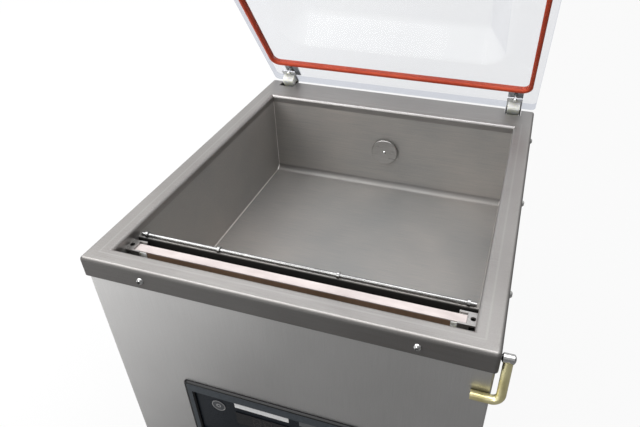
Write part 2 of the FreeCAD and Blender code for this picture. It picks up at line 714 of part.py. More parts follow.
def make_hinge_bolts():
    bolts = []
    for side in (-1, 1):
        x = hinge_x * side
        over_pin = hinge_z + d.pin_radius + d.bolt_gap
        for back, low in ((d.bolt_front, lid_under - d.leaf_sheet), (d.bolt_rear, over_pin)):
            y = hinge_y - back
            shank = cylinder("bolt_shank", "z", (x, y, low), d.bolt_radius, lid_top + d.leaf_sheet - low)
            head = cone("bolt_head", "z", (x, y, lid_top + d.leaf_sheet), d.bolt_head_radius,
                        d.bolt_crown_radius, d.bolt_head_height)
            pieces = [shank, head]
            if back is d.bolt_front:
                pieces.append(cylinder("bolt_nut", "z", (x, y, low - d.bolt_head_height), d.bolt_head_radius,
                                       d.bolt_head_height))
            bolts.append(fuse("hinge_bolt", pieces))
    return lid_piece(group("hinge_bolt_set", bolts), "hinge_bolts")


# Lid pieces are drawn closed and turned about the hinge axis to the open stop
axis_point = Vector(0, hinge_y.number, hinge_z.number)
lid_swing = Placement(Vector(), Rotation(Vector(1, 0, 0), -d.lid_open.number), axis_point)


def lid_piece(thing, label):
    doc.recompute()
    thing.Placement = lid_swing.multiply(thing.Placement)
    return node(thing, label)


# Lid: a thick clear sheet with a hollow dome formed in its middle

lid_y = (front_y, rear_y + d.lid_rear_overhang)
dome_y = (front_y + d.dome_front, rear_y - d.dome_rear)


def make_lid():
    body = new_body("lid_body")
    plate = sketch(body, "XY_Plane", lid_under)
    rectangle(plate, (-lid_half, lid_half), lid_y)
    pad(body, plate, d.lid_sheet)
    fillet(body, d.lid_corner, upright)
    dome_x = half_width - d.dome_side
    dome = sketch(body, "XY_Plane", lid_top)
    rounded_rectangle(dome, (-dome_x, dome_x), dome_y, d.dome_corner)
    pad(body, dome, d.dome_height, taper=-d.dome_taper)
    crown = lid_top + d.dome_height
    fillet(body, d.dome_blend, lambda edge: level(edge, crown))
    hollow = sketch(body, "XY_Plane", lid_under)
    inset = d.dome_wall
    rounded_rectangle(hollow, (-dome_x + inset, dome_x - inset), (dome_y[0] + inset, dome_y[1] - inset),
                      d.dome_corner - inset)
    deep = d.lid_sheet + d.dome_height - d.dome_wall
    pocket(body, hollow, deep, backwards=True, taper=-d.dome_taper)
    fillet(body, d.dome_blend, lambda edge: level(edge, lid_under + deep))
    groove = sketch(body, "XY_Plane", lid_under)
    gasket_outline(groove)
    pocket(body, groove, d.gasket_sunk, backwards=True)
    holes = sketch(body, "XY_Plane", lid_under)
    for side in (-1, 1):
        for back in (d.bolt_front, d.bolt_rear):
            circle(holes, hinge_x * side, hinge_y - back, d.bolt_radius)
    pocket(body, holes, d.lid_sheet * 2, backwards=True)
    return lid_piece(body, "lid_shell")


gasket_y = (front_y + d.gasket_front, rear_y - d.gasket_rear)


def gasket_outline(drawing):
    for offset in (d.gasket_wide / 2, -d.gasket_wide / 2):
        x = (-gasket_half - offset, gasket_half + offset)
        y = (gasket_y[0] - offset, gasket_y[1] + offset)
        rounded_rectangle(drawing, x, y, d.gasket_corner + offset)


def rounded_rectangle(drawing, x, y, radius):
    low = Vector(x[0].number, y[0].number, 0)
    high = Vector(x[1].number, y[1].number, 0)
    r = radius.number
    straight = [((low.x + r, low.y), (high.x - r, low.y)), ((high.x, low.y + r), (high.x, high.y - r)),
                ((high.x - r, high.y), (low.x + r, high.y)), ((low.x, high.y - r), (low.x, low.y + r))]
    centres = [(high.x - r, low.y + r), (high.x - r, high.y - r), (low.x + r, high.y - r),
               (low.x + r, low.y + r)]
    lines = []
    arcs = []
    for i in range(4):
        ends = [Vector(*end, 0) for end in straight[i]]
        lines.append(drawing.addGeometry(Part.LineSegment(*ends)))
        ring = Part.Circle(Vector(*centres[i], 0), Vector(0, 0, 1), r)
        start = math.radians(90 * i - 90)
        arcs.append(drawing.addGeometry(Part.ArcOfCircle(ring, start, start + math.pi / 2)))
    for i in range(4):
        drawing.addConstraint(Sketcher.Constraint("Tangent", lines[i], 2, arcs[i], 1))
        drawing.addConstraint(Sketcher.Constraint("Tangent", arcs[i], 2, lines[(i + 1) % 4], 1))
    for i in (0, 2):
        drawing.addConstraint(Sketcher.Constraint("Horizontal", lines[i]))
        drawing.addConstraint(Sketcher.Constraint("Vertical", lines[i + 1]))
    for i in (1, 2, 3):
        drawing.addConstraint(Sketcher.Constraint("Equal", arcs[0], arcs[i]))
    for kind, line, value in (("DistanceY", 0, y[0]), ("DistanceX", 1, x[1]), ("DistanceY", 2, y[1]),
                              ("DistanceX", 3, x[0])):
        index = drawing.addConstraint(Sketcher.Constraint(kind, -1, 1, lines[line], 1, value.number))
        drawing.setExpression("Constraints[%d]" % index, value.text)
    index = drawing.addConstraint(Sketcher.Constraint("Radius", arcs[0], r))
    drawing.setExpression("Constraints[%d]" % index, radius.text)


# Gasket: a soft cord with a rounded nose, half sunk in the lid's groove

def make_gasket():
    body = new_body("gasket_body")
    ring = sketch(body, "XY_Plane", lid_under + d.gasket_sunk)
    gasket_outline(ring)
    feature = pad(body, ring, d.gasket_sunk + d.lid_gap - d.gasket_play)
    feature.Reversed = True
    doc.recompute()
    nose = deck_top + d.gasket_play
    fillet(body, d.gasket_nose, lambda edge: level(edge, nose))
    return lid_piece(body, "lid_gasket")


# Pressure strip: a silicone bar in a channel under the lid, above the seal bar

bar_y = (front_y + d.bar_front, front_y + d.bar_front + d.bar_wide)
bar_top = deck_top - d.bar_drop
strip_low = bar_top + d.bar_lift + d.strip_gap


def make_pressure_strip():
    middle = (bar_y[0] + bar_y[1]) / 2
    wide = d.holder_wide / 2
    slot = d.strip_wide / 2
    holder_low = strip_low + d.holder_wall
    body = new_body("holder_body")
    profile = sketch(body, "YZ_Plane", -strip_half)
    inner = slot + near
    shelf = holder_low + d.strip_tall - d.holder_wall
    polygon(profile, [
        (middle - wide, lid_under), (middle - wide, holder_low), (middle - inner, holder_low),
        (middle - inner, shelf), (middle + inner, shelf), (middle + inner, holder_low),
        (middle + wide, holder_low), (middle + wide, lid_under)])
    pad(body, profile, strip_half * 2)
    lid_piece(body, "pressure_holder")
    strip = box("strip", (-strip_half, strip_half), (middle - slot, middle + slot), (strip_low, shelf))

    def lower_edge(edge):
        return along_x(edge) and level(edge, strip_low)

    lid_piece(rounded("strip_round", strip, d.holder_wall / 2, lower_edge), "pressure_strip")


# Seal bar: a bar with end caps, a heating band and a PTFE cover, lifted by two pistons

def make_seal_bar():
    body_half = bar_half - d.bar_cap_long
    low = bar_top - d.bar_tall
    core_top = bar_top - d.tape_thick - d.band_thick
    core = box("bar_core", (-body_half, body_half), bar_y, (low, core_top))
    node(rounded("bar_core_round", core, d.tape_thick, lambda edge: along_x(edge) and level(edge, low)),
         "seal_bar_body")
    for side, label in ((-1, "bar_cap_left"), (1, "bar_cap_right")):
        x = (body_half, bar_half) if side > 0 else (-bar_half, -body_half)
        y = (bar_y[0] - d.bar_cap_extra, bar_y[1] + d.bar_cap_extra)
        cap = box("bar_cap", x, y, (low, core_top))
        node(rounded("bar_cap_round", cap, d.bar_cap_extra, along_x), label)
    middle = (bar_y[0] + bar_y[1]) / 2
    bar_x = (-body_half, body_half)
    band_y = (middle - d.band_wide / 2, middle + d.band_wide / 2)
    band_z = (core_top, core_top + d.band_thick)
    node(box("band", bar_x, band_y, band_z), "heating_band")
    sheet_top = box("tape_top", (-bar_half, bar_half), bar_y, (core_top, bar_top))
    channel = box("tape_channel", bar_x, band_y, band_z)
    node(cut("tape", sheet_top, [channel]), "ptfe_cover")
    pistons = []
    cylinders = []
    for side in (-1, 1):
        x = d.piston_x * side
        cylinder_top = low - d.cylinder_top_gap
        bottom = tank_floor + d.bar_lift
        pistons.append(cylinder("piston", "z", (x, middle, bottom), d.piston_radius, low - bottom))
        foot = (x, middle, tank_floor)
        barrel = cylinder("barrel", "z", foot, d.cylinder_radius, cylinder_top - tank_floor)
        collar = cylinder("collar", "z", foot, d.cylinder_radius + d.collar_extra, d.bar_lift / 2)
        bore = cylinder("barrel_bore", "z", (x, middle, bottom), d.piston_radius + d.piston_play,
                        cylinder_top - bottom)
        cylinders.append(cut("lift_cylinder", fuse("barrel_blank", [barrel, collar]), [bore]))
    node(group("piston_pair", pistons), "lift_pistons")
    node(group("cylinder_pair", cylinders), "lift_cylinders")


# End guides: a channel beside each end of the bar, with tabs that embrace the bar's end cap

def make_bar_guides():
    low = tank_floor + d.tank_bend
    top = deck_top - d.guide_drop
    plate = bar_half + d.guide_play
    embrace = d.bar_cap_extra + d.guide_play
    tabs_y = [(bar_y[0] - embrace - d.guide_sheet, bar_y[0] - embrace),
              (bar_y[1] + embrace, bar_y[1] + embrace + d.guide_sheet)]
    guide_y = (tabs_y[0][0], tabs_y[1][1])
    middle = (guide_y[0] + guide_y[1]) / 2
    for side, label in ((-1, "bar_guide_left"), (1, "bar_guide_right")):
        def across(first, last):
            return (first, last) if side > 0 else (-last, -first)

        pieces = [box("guide_plate", across(plate, plate + d.guide_sheet), guide_y, (low, top))]
        for z in (low, top - d.guide_sheet):
            pieces.append(box("guide_shelf", across(plate, mouth_x), guide_y, (z, z + d.guide_sheet)))
        for y in tabs_y:
            pieces.append(box("guide_tab", across(bar_half - d.guide_tab, plate + d.guide_sheet), y,
                              (bar_top - d.bar_tall, top)))
        shelf_middle = (plate + d.guide_sheet + mouth_x) / 2 * side
        holes = [cylinder("shelf_hole", "z", (shelf_middle, middle, low), d.guide_hole_radius, top - low)]
        for step in (1, 2):
            place_z = top - d.guide_hole_drop * (step + 1)
            hole_x = across(plate, plate + d.guide_sheet)[0]
            holes.append(cylinder("plate_hole", "x", (hole_x, middle, place_z), d.guide_hole_radius,
                                  d.guide_sheet))
        node(cut("bar_guide", fuse("guide_blank", pieces), holes), label)


# Bag rest: a folded plate behind the seal bar with a bright rod along its top edge

# Shares of the rod's half length where its clips sit
clip_shares = (-0.96, -0.48, 0.25, 0.96)


def make_bag_rest():
    body = new_body("rest_body")
    front = front_y + d.rest_back
    top = deck_top - d.rest_drop
    profile = sketch(body, "YZ_Plane", -mouth_x)
    sheet_wide = d.rest_sheet
    polygon(profile, [
        (front, tank_floor), (front + sheet_wide, tank_floor), (front + sheet_wide, top - sheet_wide),
        (front + d.rest_flange, top - sheet_wide), (front + d.rest_flange, top), (front, top)])
    pad(body, profile, mouth_x * 2)

    def front_fold(edge):
        return along_x(edge) and level(edge, top) and edge.BoundBox.YMin < front.number + near

    fillet(body, d.rest_bend, front_fold)
    node(body, "bag_rest_plate")
    rod_y = front + d.rest_flange / 2
    rod_z = top + d.rod_radius
    node(cylinder("rod", "x", (-rod_half, rod_y, rod_z), d.rod_radius, rod_half * 2), "bag_rod")
    clips = []
    for share in clip_shares:
        x = rod_half * share
        ring = cylinder("clip_ring", "x", (x - d.clip_long / 2, rod_y, rod_z), d.clip_radius, d.clip_long)
        bore = cylinder("clip_bore", "x", (x - d.clip_long, rod_y, rod_z), d.rod_radius, d.clip_long * 2)
        reach = d.clip_radius * 2
        under = box("clip_under", (x - d.clip_long, x + d.clip_long), (rod_y - reach, rod_y + reach),
                    (top - reach, top + d.clip_gap))
        clips.append(cut("clip", ring, [bore, under]))
    node(group("clip_set", clips), "rod_clips")


# Latch: a pin that turns in the right side, and a bent rod set into it from below

def make_latch():
    y, z = [value.number for value in latch_place]
    wire = d.hook_wire.number
    neck = d.latch_neck_radius.number
    head = d.latch_radius.number
    crown = d.latch_crown.number
    start = half_width.number + d.latch_stand.number
    tip = half_width.number + d.latch_reach.number
    inside = cab_x.number - d.cab_sheet.number
    nut_long = d.latch_nut.number
    along = Vector(1, 0, 0)
    ball = (head ** 2 + crown ** 2) / (2 * crown)
    button = Part.makeCylinder(head, tip - start, Vector(start, y, z), along)
    button = button.common(Part.makeSphere(ball, Vector(tip - ball, y, z), along))
    shank = Part.makeCylinder(neck, start - inside + nut_long, Vector(inside - nut_long, y, z), along)
    nut_radius = neck + d.latch_nut_rim.number
    nut = Part.makeCylinder(nut_radius, nut_long, Vector(inside - nut_long, y, z), along)
    pin = button.fuse([shank, nut]).removeSplitter()

    rest_y = cab_y[0].number - wire - d.hook_rest_gap.number
    drop = math.sqrt(d.hook_arm.number ** 2 - (y - rest_y) ** 2)
    top = Vector(hook_x.number, y, z)
    corner = Vector(hook_x.number, rest_y, z - drop)
    end = Vector(hook_tip.number, rest_y, z - drop)
    down = (corner - top).normalize()
    begin = top + down * (head / 2)
    path = Part.Wire(rounded_path([begin, corner, end], d.hook_bend.number))
    section = Part.Wire([Part.Circle(begin, down, wire).toShape()])
    rod = path.makePipeShell([section], True, False).cut(pin)
    spigot = Part.makeCylinder(d.hook_spigot.number, head + wire, top, down)

    pivot = doc.addObject("Part::Feature", "latch_pin_solid")
    pivot.Shape = pin.cut(spigot)
    node(pivot, "latch_pin")
    hook = doc.addObject("Part::Feature", "hook_solid")
    hook.Shape = rod.fuse(spigot).removeSplitter()
    node(hook, "latch_hook")


# Control panel: a bevelled frame, a recessed face sheet and keys that travel

panel_z = (deck_top - d.panel_drop - d.panel_tall, deck_top - d.panel_drop)
panel_front = cab_y[0] - d.panel_proud
face_front = panel_front + d.window_sink


def key_list():
    keys = [("key_power", power_key_x, panel_z[1] - d.power_key_drop, d.key_radius)]
    for step, label in enumerate(("key_select", "key_minus", "key_plus", "key_stop")):
        x = d.key_first_x + d.key_pitch * step
        keys.append((label, x, panel_z[1] - d.key_row_drop, d.small_key_radius))
    return keys


def make_panel():
    body = new_body("bezel_body")
    frame = sketch(body, "XZ_Plane", -panel_front)
    half = d.panel_width / 2
    rounded_rectangle(frame, (-half, half), panel_z, d.panel_corner)
    plate = pad(body, frame, d.panel_proud)
    plate.Reversed = True
    doc.recompute()
    back = sketch(body, "XZ_Plane", -cab_y[0])
    inside = half - d.panel_lip - d.key_play
    low = (panel_z[0] + d.panel_lip + d.key_play, panel_z[1] - d.panel_lip - d.key_play)
    rectangle(back, (-inside, inside), low)
    tub = pad(body, back, d.panel_deep - d.panel_proud)
    tub.Reversed = True
    doc.recompute()
    window = sketch(body, "XZ_Plane", -panel_front)
    window_z = (panel_z[1] - d.window_drop - d.window_tall, panel_z[1] - d.window_drop)
    rectangle(window, (-window_half, window_half), window_z)
    pocket(body, window, d.window_sink + d.face_thick)
    well = sketch(body, "XZ_Plane", -face_front - d.face_thick)
    wall = d.face_thick
    rectangle(well, (-window_half + wall, window_half - wall), (window_z[0] + wall, window_z[1] - wall))
    pocket(body, well)

    def front_edge(edge):
        box_of = edge.BoundBox
        return box_of.YLength < near and abs(box_of.YMin - panel_front.number) < near

    holed = body.Tip
    names = ["Edge%d" % i for i, edge in enumerate(holed.Shape.Edges, start=1) if front_edge(edge)]
    bevel = body.newObject("PartDesign::Chamfer", "bezel_bevel")
    bevel.Base = (holed, names)
    bind(bevel, "Size", d.panel_bevel)
    doc.recompute()
    node(body, "panel_bezel")

    face = new_body("face_body")
    face_sheet = sketch(face, "XZ_Plane", -face_front)
    rectangle(face_sheet, (-window_half, window_half), window_z)
    layer = pad(face, face_sheet, d.face_thick)
    layer.Reversed = True
    doc.recompute()
    openings = sketch(face, "XZ_Plane", -face_front)
    for label, x, z, radius in key_list():
        circle(openings, x, z, radius + d.key_play)
    pocket(face, openings)
    node(face, "panel_face")

    for label, x, z, radius in key_list():
        cap_front = face_front - d.key_proud
        cap = cylinder(label + "_cap", "y", (x, cap_front, z), radius, d.key_proud + d.face_thick)
        stem_start = (x, face_front + d.face_thick, z)
        stem = cylinder(label + "_stem", "y", stem_start, d.key_stem_radius, d.key_stem_long)
        blank = fuse(label + "_blank", [cap, stem])
        node(rounded(label + "_round", blank, d.key_proud / 2,
                     lambda edge, at=cap_front.number: abs(edge.BoundBox.YMax - at) < near), label)

    display_z = panel_z[1] - d.display_drop
    node(box("display", (d.display_x - d.display_width / 2, d.display_x + d.display_width / 2),
             (face_front - d.display_thick, face_front),
             (display_z - d.display_tall / 2, display_z + d.display_tall / 2)), "display_window")
    labels = []
    label_z = panel_z[1] - d.label_drop
    label_left = d.display_x - d.label_width / 2
    for x in ((label_left, label_left + d.label_width), (d.strip_left, window_half - d.strip_end)):
        labels.append(box("label", x, (face_front - d.label_thick, face_front),
                          (label_z - d.label_tall / 2, label_z + d.label_tall / 2)))
    node(group("label_set", labels), "bare_labels")

    board_front = face_front + d.face_thick + d.key_stem_long + d.key_travel + d.key_play
    middle = (window_z[0] + window_z[1]) / 2
    board = box("board", (-board_half, board_half), (board_front, board_front + d.board_thick),
                (middle - d.board_tall / 2, middle + d.board_tall / 2))
    posts = []
    for sx in (-1, 1):
        for sz in (-1, 1):
            x = (board_half - d.key_stem_radius) * sx
            z = middle + (d.board_tall / 2 - d.key_stem_radius * 2) * sz
            posts.append(cylinder("board_post", "y", (x, face_front + d.face_thick, z), d.key_stem_radius,
                                  board_front - face_front - d.face_thick))
    chip_y = (board_front + d.board_thick, board_front + d.board_thick * 3)
    chip_z = (middle - d.chip_size / 2, middle + d.chip_size / 2)
    chips = [box("chip", (d.chip_pitch * step - d.chip_size, d.chip_pitch * step), chip_y, chip_z)
             for step in (-1, 0, 1)]
    node(fuse("board_set", [board] + posts + chips), "control_board")


# Vacuum pump: a ribbed casting on feet with an oil box, driven by a fan-cooled motor along X

motor_z = pan_top + d.motor_axis_height


def make_pump():
    x = (d.pump_x - d.pump_width / 2, d.pump_x + d.pump_width / 2)
    y = (d.pump_y - d.pump_deep / 2, d.pump_y + d.pump_deep / 2)
    low = pan_top + d.pump_foot
    casting = box("pump_casting", x, y, (low, low + d.pump_tall))
    ribs = []
    rib_pitch = d.pump_width / (d.rib_count + 1)
    for step in range(1, int(d.rib_count.number) + 1):
        at = x[0] + rib_pitch * step
        ribs.append(box("pump_rib", (at - d.fin_thick / 2, at + d.fin_thick / 2),
                        (y[0] - d.fin_tall, y[1] + d.fin_tall),
                        (low + d.pump_foot, low + d.pump_tall + d.fin_tall)))
    feet = [cylinder("pump_leg", "z", (across, along, pan_top), d.pump_foot, d.pump_foot)
            for across in (x[0] + d.pump_foot_inset, x[1] - d.pump_foot_inset)
            for along in (y[0] + d.pump_foot_inset, y[1] - d.pump_foot_inset)]
    neck = cylinder("pump_neck", "z", (d.pump_x, d.pump_y, low + d.pump_tall), d.hose_radius, d.pump_neck)
    node(fuse("pump_set", [casting, neck] + ribs + feet), "pump_body")

    oil_x = (x[1], x[1] + d.oil_box_long)
    oil_top = low + d.oil_box_tall
    oil = box("oil_case", oil_x, (y[0] + d.pump_foot, y[1] - d.pump_foot), (low, oil_top))

    def outer_edge(edge):
        return edge.BoundBox.XMin > x[1].number + near and (along_y(edge) or upright(edge))

    case = rounded("oil_round", oil, d.pump_foot, outer_edge)
    filler_place = ((oil_x[0] + oil_x[1]) / 2, d.pump_y, oil_top)
    filler = cylinder("oil_filler", "z", filler_place, d.plug_radius, d.plug_tall)
    drain_place = (oil_x[1], d.pump_y, low + d.drain_height)
    drain = cylinder("oil_drain", "x", drain_place, d.plug_radius, d.plug_tall)
    node(fuse("oil_set", [case, filler, drain]), "oil_box")
    sight = cylinder("sight", "x", (oil_x[1], d.pump_y, low + d.sight_height), d.sight_radius, d.sight_long)
    node(rounded("sight_round", sight, d.sight_long / 4,
                 lambda edge: abs(edge.BoundBox.XMin - oil_x[1].number - d.sight_long.number) < near),
         "oil_sight_glass")


def make_motor():
    end = d.pump_x - d.pump_width / 2
    start = end - d.motor_long
    barrel = cylinder("motor_barrel", "x", (start, d.pump_y, motor_z), d.motor_radius, d.motor_long)
    thing = doc.addObject("Part::Feature", "motor_fins")
    fin_long = d.motor_long.number - d.fin_end_gap.number * 2
    fin = Part.makeBox(fin_long, d.fin_thick.number, d.fin_tall.number + d.fin_thick.number)
    fins = []
    count = int(d.fin_count.number)
    for step in range(count):
        piece = fin.copy()
        piece.translate(Vector(start.number + d.fin_end_gap.number, -d.fin_thick.number / 2,
                               d.motor_radius.number - d.fin_thick.number))
        piece.rotate(Vector(), Vector(1, 0, 0), 360.0 * step / count)
        piece.translate(Vector(0, d.pump_y.number, motor_z.number))
        fins.append(piece)
    thing.Shape = Part.makeCompound(fins)
    foot = box("motor_foot", (start + d.fin_tall, end - d.fin_tall),
               (d.pump_y - d.motor_foot_half, d.pump_y + d.motor_foot_half),
               (pan_top, motor_z - d.motor_foot_rise))
    middle = (start + end) / 2
    terminals = box("terminal_box", (middle - d.terminal_long / 2, middle + d.terminal_long / 2),
                    (d.pump_y - d.terminal_wide / 2, d.pump_y + d.terminal_wide / 2),
                    (motor_z + d.motor_radius - d.fin_tall * 2, motor_z + d.motor_radius + d.terminal_tall))
    blank = fuse("motor_blank", [barrel, thing, foot, terminals])
    bore_radius = d.shaft_radius + d.shaft_play
    tunnel = cylinder("motor_bore", "x", (start, d.pump_y, motor_z), bore_radius, d.shaft_bore)
    node(cut("motor", blank, [tunnel]), "pump_motor")

    cowl_end = start - d.cowl_long
    outer = cylinder("cowl_outer", "x", (cowl_end, d.pump_y, motor_z), d.motor_radius, d.cowl_long)
    inner = cylinder("cowl_inner", "x", (cowl_end + d.cowl_wall, d.pump_y, motor_z),
                     d.motor_radius - d.cowl_wall, d.cowl_long - d.cowl_wall)
    slits = []
    for step in range(-3, 4):
        y = d.pump_y + d.louvre_pitch * step
        slits.append(box("cowl_slit", (cowl_end, cowl_end + d.cowl_wall),
                         (y - d.louvre_width / 2, y + d.louvre_width / 2),
                         (motor_z - d.slit_half, motor_z + d.slit_half)))
    node(cut("cowl", outer, [inner] + slits), "fan_cowl")

    hub_x = cowl_end + d.fan_gap
    hub = cylinder("fan_hub", "x", (hub_x, d.pump_y, motor_z), d.hub_radius, d.fan_long)
    shaft_long = start - hub_x + d.shaft_inside
    shaft = cylinder("fan_shaft", "x", (hub_x, d.pump_y, motor_z), d.shaft_radius, shaft_long)
    blades = doc.addObject("Part::Feature", "fan_blades_solid")
    blade_tall = d.fan_radius.number - d.blade_root.number
    blade = Part.makeBox(d.fan_long.number, d.blade_thick.number, blade_tall)
    pieces = []
    count = int(d.fan_blades.number)
    for step in range(count):
        piece = blade.copy()
        piece.translate(Vector(hub_x.number, -d.blade_thick.number / 2, d.blade_root.number))
        piece.rotate(Vector(), Vector(1, 0, 0), 360.0 * step / count)
        piece.translate(Vector(0, d.pump_y.number, motor_z.number))
        pieces.append(piece)
    blades.Shape = Part.makeCompound(pieces)
    node(fuse("fan", [hub, shaft, blades]), "cooling_fan")


# Vacuum hose: straight runs joined by tangent arcs from the suction pipe down to the pump

# Share of the shorter upright run that the bend takes
bend_share = 0.95


def make_hose():
    pipe_y = mouth_y[1].number + d.tank_sheet.number + d.pipe_long.number / 2
    pipe_low = deck_top.number - d.port_drop.number - d.pipe_long.number
    top = Vector(0, pipe_y, pipe_low)
    neck_top = pan_top.number + d.pump_foot.number + d.pump_tall.number + d.pump_neck.number
    end = Vector(d.pump_x.number, d.pump_y.number, neck_top)
    floor = tank_floor.number - d.tank_sheet.number
    lane = (neck_top + floor) / 2
    points = [top, Vector(0, pipe_y, lane), Vector(end.x, end.y, lane), end]
    radius = min((points[0] - points[1]).Length, (points[2] - points[3]).Length) * bend_share
    path = Part.Wire(rounded_path(points, radius))
    outer = Part.Wire([Part.Circle(top, Vector(0, 0, -1), d.hose_radius.number).toShape()])
    hose = path.makePipeShell([outer], True, False)
    thing = doc.addObject("Part::Feature", "hose_solid")
    thing.Shape = hose
    return node(thing, "vacuum_hose")


def rounded_path(points, radius):
    edges = []
    start = points[0]
    for before, corner, after in zip(points, points[1:], points[2:]):
        into = (corner - before).normalize()
        out = (after - corner).normalize()
        half_turn = into.getAngle(out) / 2
        reach = radius * math.tan(half_turn)
        first = corner - into * reach
        second = corner + out * reach
        inward = (out - into).normalize()
        centre = corner + inward * (radius / math.cos(half_turn))
        middle = centre - inward * radius
        if (first - start).Length > near:
            edges.append(Part.LineSegment(start, first).toShape())
        edges.append(Part.Arc(first, middle, second).toShape())
        start = second
    if (points[-1] - start).Length > near:
        edges.append(Part.LineSegment(start, points[-1]).toShape())
    return edges


# Electrics: air valve, sealing transformer, mains inlet with its rocker, and the lid sensor

def make_valve():
    y = mouth_y[1] - d.valve_radius * 2
    base = box("valve_base", (d.valve_x - d.valve_base_half, d.valve_x + d.valve_base_half),
               (y - d.valve_base_half, y + d.valve_base_half), (pan_top, pan_top + d.valve_base_tall))
    coil = cylinder("valve_coil", "z", (d.valve_x, y, pan_top), d.valve_radius, d.valve_tall)
    port_start = (d.valve_x, y, pan_top + d.valve_port_height)
    port = cylinder("valve_port", "x", port_start, d.valve_port_radius, d.valve_radius * 2)
    node(fuse("valve", [base, coil, port]), "air_valve")


def make_transformer():
    front = cab_y[0] + d.foot_inset * 2
    left = d.valve_x - d.transformer_wide / 2
    core = box("core", (left, left + d.transformer_wide), (front, front + d.core_deep),
               (pan_top, pan_top + d.transformer_tall))
    winding = box("winding", (left + d.winding_inset, left + d.transformer_wide - d.winding_inset),
                  (front - d.winding_front, front + d.winding_back),
                  (pan_top + d.winding_end, pan_top + d.transformer_tall - d.winding_end))
    soft = rounded("winding_round", winding, d.fin_tall, upright)
    node(fuse("transformer", [core, soft]), "seal_transformer")


rocker_place = (cab_y[1] - d.pivot_sunk, d.inlet_height + d.rocker_height)


def make_inlet():
    rear = cab_y[1]
    half = d.inlet_wide / 2
    low = d.inlet_height
    flange = box("inlet_plate", (inlet_x - half, inlet_x + half), (rear, rear + d.inlet_flange),
                 (low, low + d.inlet_tall))
    inset = d.inlet_flange + d.rocker_play
    shell = box("inlet_shell", (inlet_x - half + inset, inlet_x + half - inset),
                (rear - d.inlet_deep, rear), (low + inset, low + d.inlet_tall - inset))
    socket_z = (low + d.mains_low, low + d.mains_low + d.mains_tall)
    well_floor = rear - d.mains_deep
    socket = box("inlet_socket", (inlet_x - d.mains_half, inlet_x + d.mains_half),
                 (well_floor, rear + d.inlet_flange), socket_z)
    rocker_z = rocker_place[1]
    rocker_half = d.rocker_tall / 2 + d.rocker_play
    rocker_x = d.rocker_wide / 2 + d.rocker_play
    well = box("rocker_well", (inlet_x - rocker_x, inlet_x + rocker_x),
               (rear - d.rocker_well_deep, rear + d.inlet_flange),
               (rocker_z - rocker_half, rocker_z + rocker_half))
    holed = cut("inlet_holed", fuse("inlet_blank", [flange, shell]), [socket, well])
    middle = (socket_z[0] + socket_z[1]) / 2
    contacts = []
    for step, rise in ((-1, -1), (0, 1), (1, -1)):
        x = inlet_x + d.contact_pitch * step
        z = middle + d.contact_rise * rise
        contacts.append(box("inlet_contact", (x - d.contact_thick / 2, x + d.contact_thick / 2),
                            (well_floor - d.inlet_flange, well_floor - d.inlet_flange + d.contact_long),
                            (z - d.contact_wide / 2, z + d.contact_wide / 2)))
    node(fuse("inlet", [holed] + contacts), "mains_inlet")


# Rocker: a dished bar that tips about a pivot just behind the inlet's face

def make_rocker():
    wide = d.rocker_wide.number
    tall = d.rocker_tall.number / 2 - d.rocker_play.number
    deep = d.rocker_deep.number
    root = d.rocker_root.number
    outline = [Vector(0, -root, -tall / 2), Vector(0, deep, -tall), Vector(0, d.rocker_dish.number, 0),
               Vector(0, deep, tall), Vector(0, -root, tall / 2)]
    solid = Part.Face(Part.makePolygon(outline + outline[:1])).extrude(Vector(wide, 0, 0))
    solid.rotate(Vector(), Vector(1, 0, 0), -d.rocker_swing.number / 2)
    solid.translate(Vector(inlet_x.number - wide / 2, rocker_place[0].number, rocker_place[1].number))
    thing = doc.addObject("Part::Feature", "rocker_solid")
    thing.Shape = solid
    node(thing, "mains_rocker")


def make_sensor():
    y = rear_y - d.sensor_inset
    low = cab_top - d.sensor_long
    stem = cylinder("sensor_body", "z", (d.sensor_x, y, low), d.sensor_radius, d.sensor_long)
    nut = cylinder("sensor_nut", "z", (d.sensor_x, y, cab_top - d.fin_tall), d.sensor_nut_radius, d.fin_tall)
    node(fuse("sensor", [stem, nut]), "lid_sensor")


def check_document():
    doc.recompute()
    for thing in doc.Objects:
        if "Invalid" in thing.State or "Error" in thing.State:
            raise ValueError("failed object: %s %s" % (thing.Name, thing.State))
    for thing in nodes:
        shape = thing.Shape
        if shape.isNull() or not shape.isValid():
            raise ValueError("bad shape: " + thing.Label)


def write_parts():
    os.makedirs("parts", exist_ok=True)
    for thing in nodes:
        thing.Shape.exportStep(os.path.join("parts", thing.Label + ".step"))
        print(thing.Label, len(thing.Shape.Solids), round(thing.Shape.Volume / 1000, 2), "cm3")


make_base_pan()
make_feet()
make_cabinet_wrap()
make_rear_panel()
make_rear_screws()
make_deck()
make_skirt_screws()
make_tank()
make_suction()
make_lid()
make_gasket()
make_hinges()
make_hinge_bolts()
make_pressure_strip()
make_seal_bar()
make_bar_guides()
make_bag_rest()
make_latch()
make_panel()
make_pump()
make_motor()
make_hose()
make_valve()
make_transformer()
make_inlet()
make_rocker()
make_sensor()
check_document()
write_parts()
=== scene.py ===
import math
import bpy
import numpy as np
from mathutils import Matrix, Vector


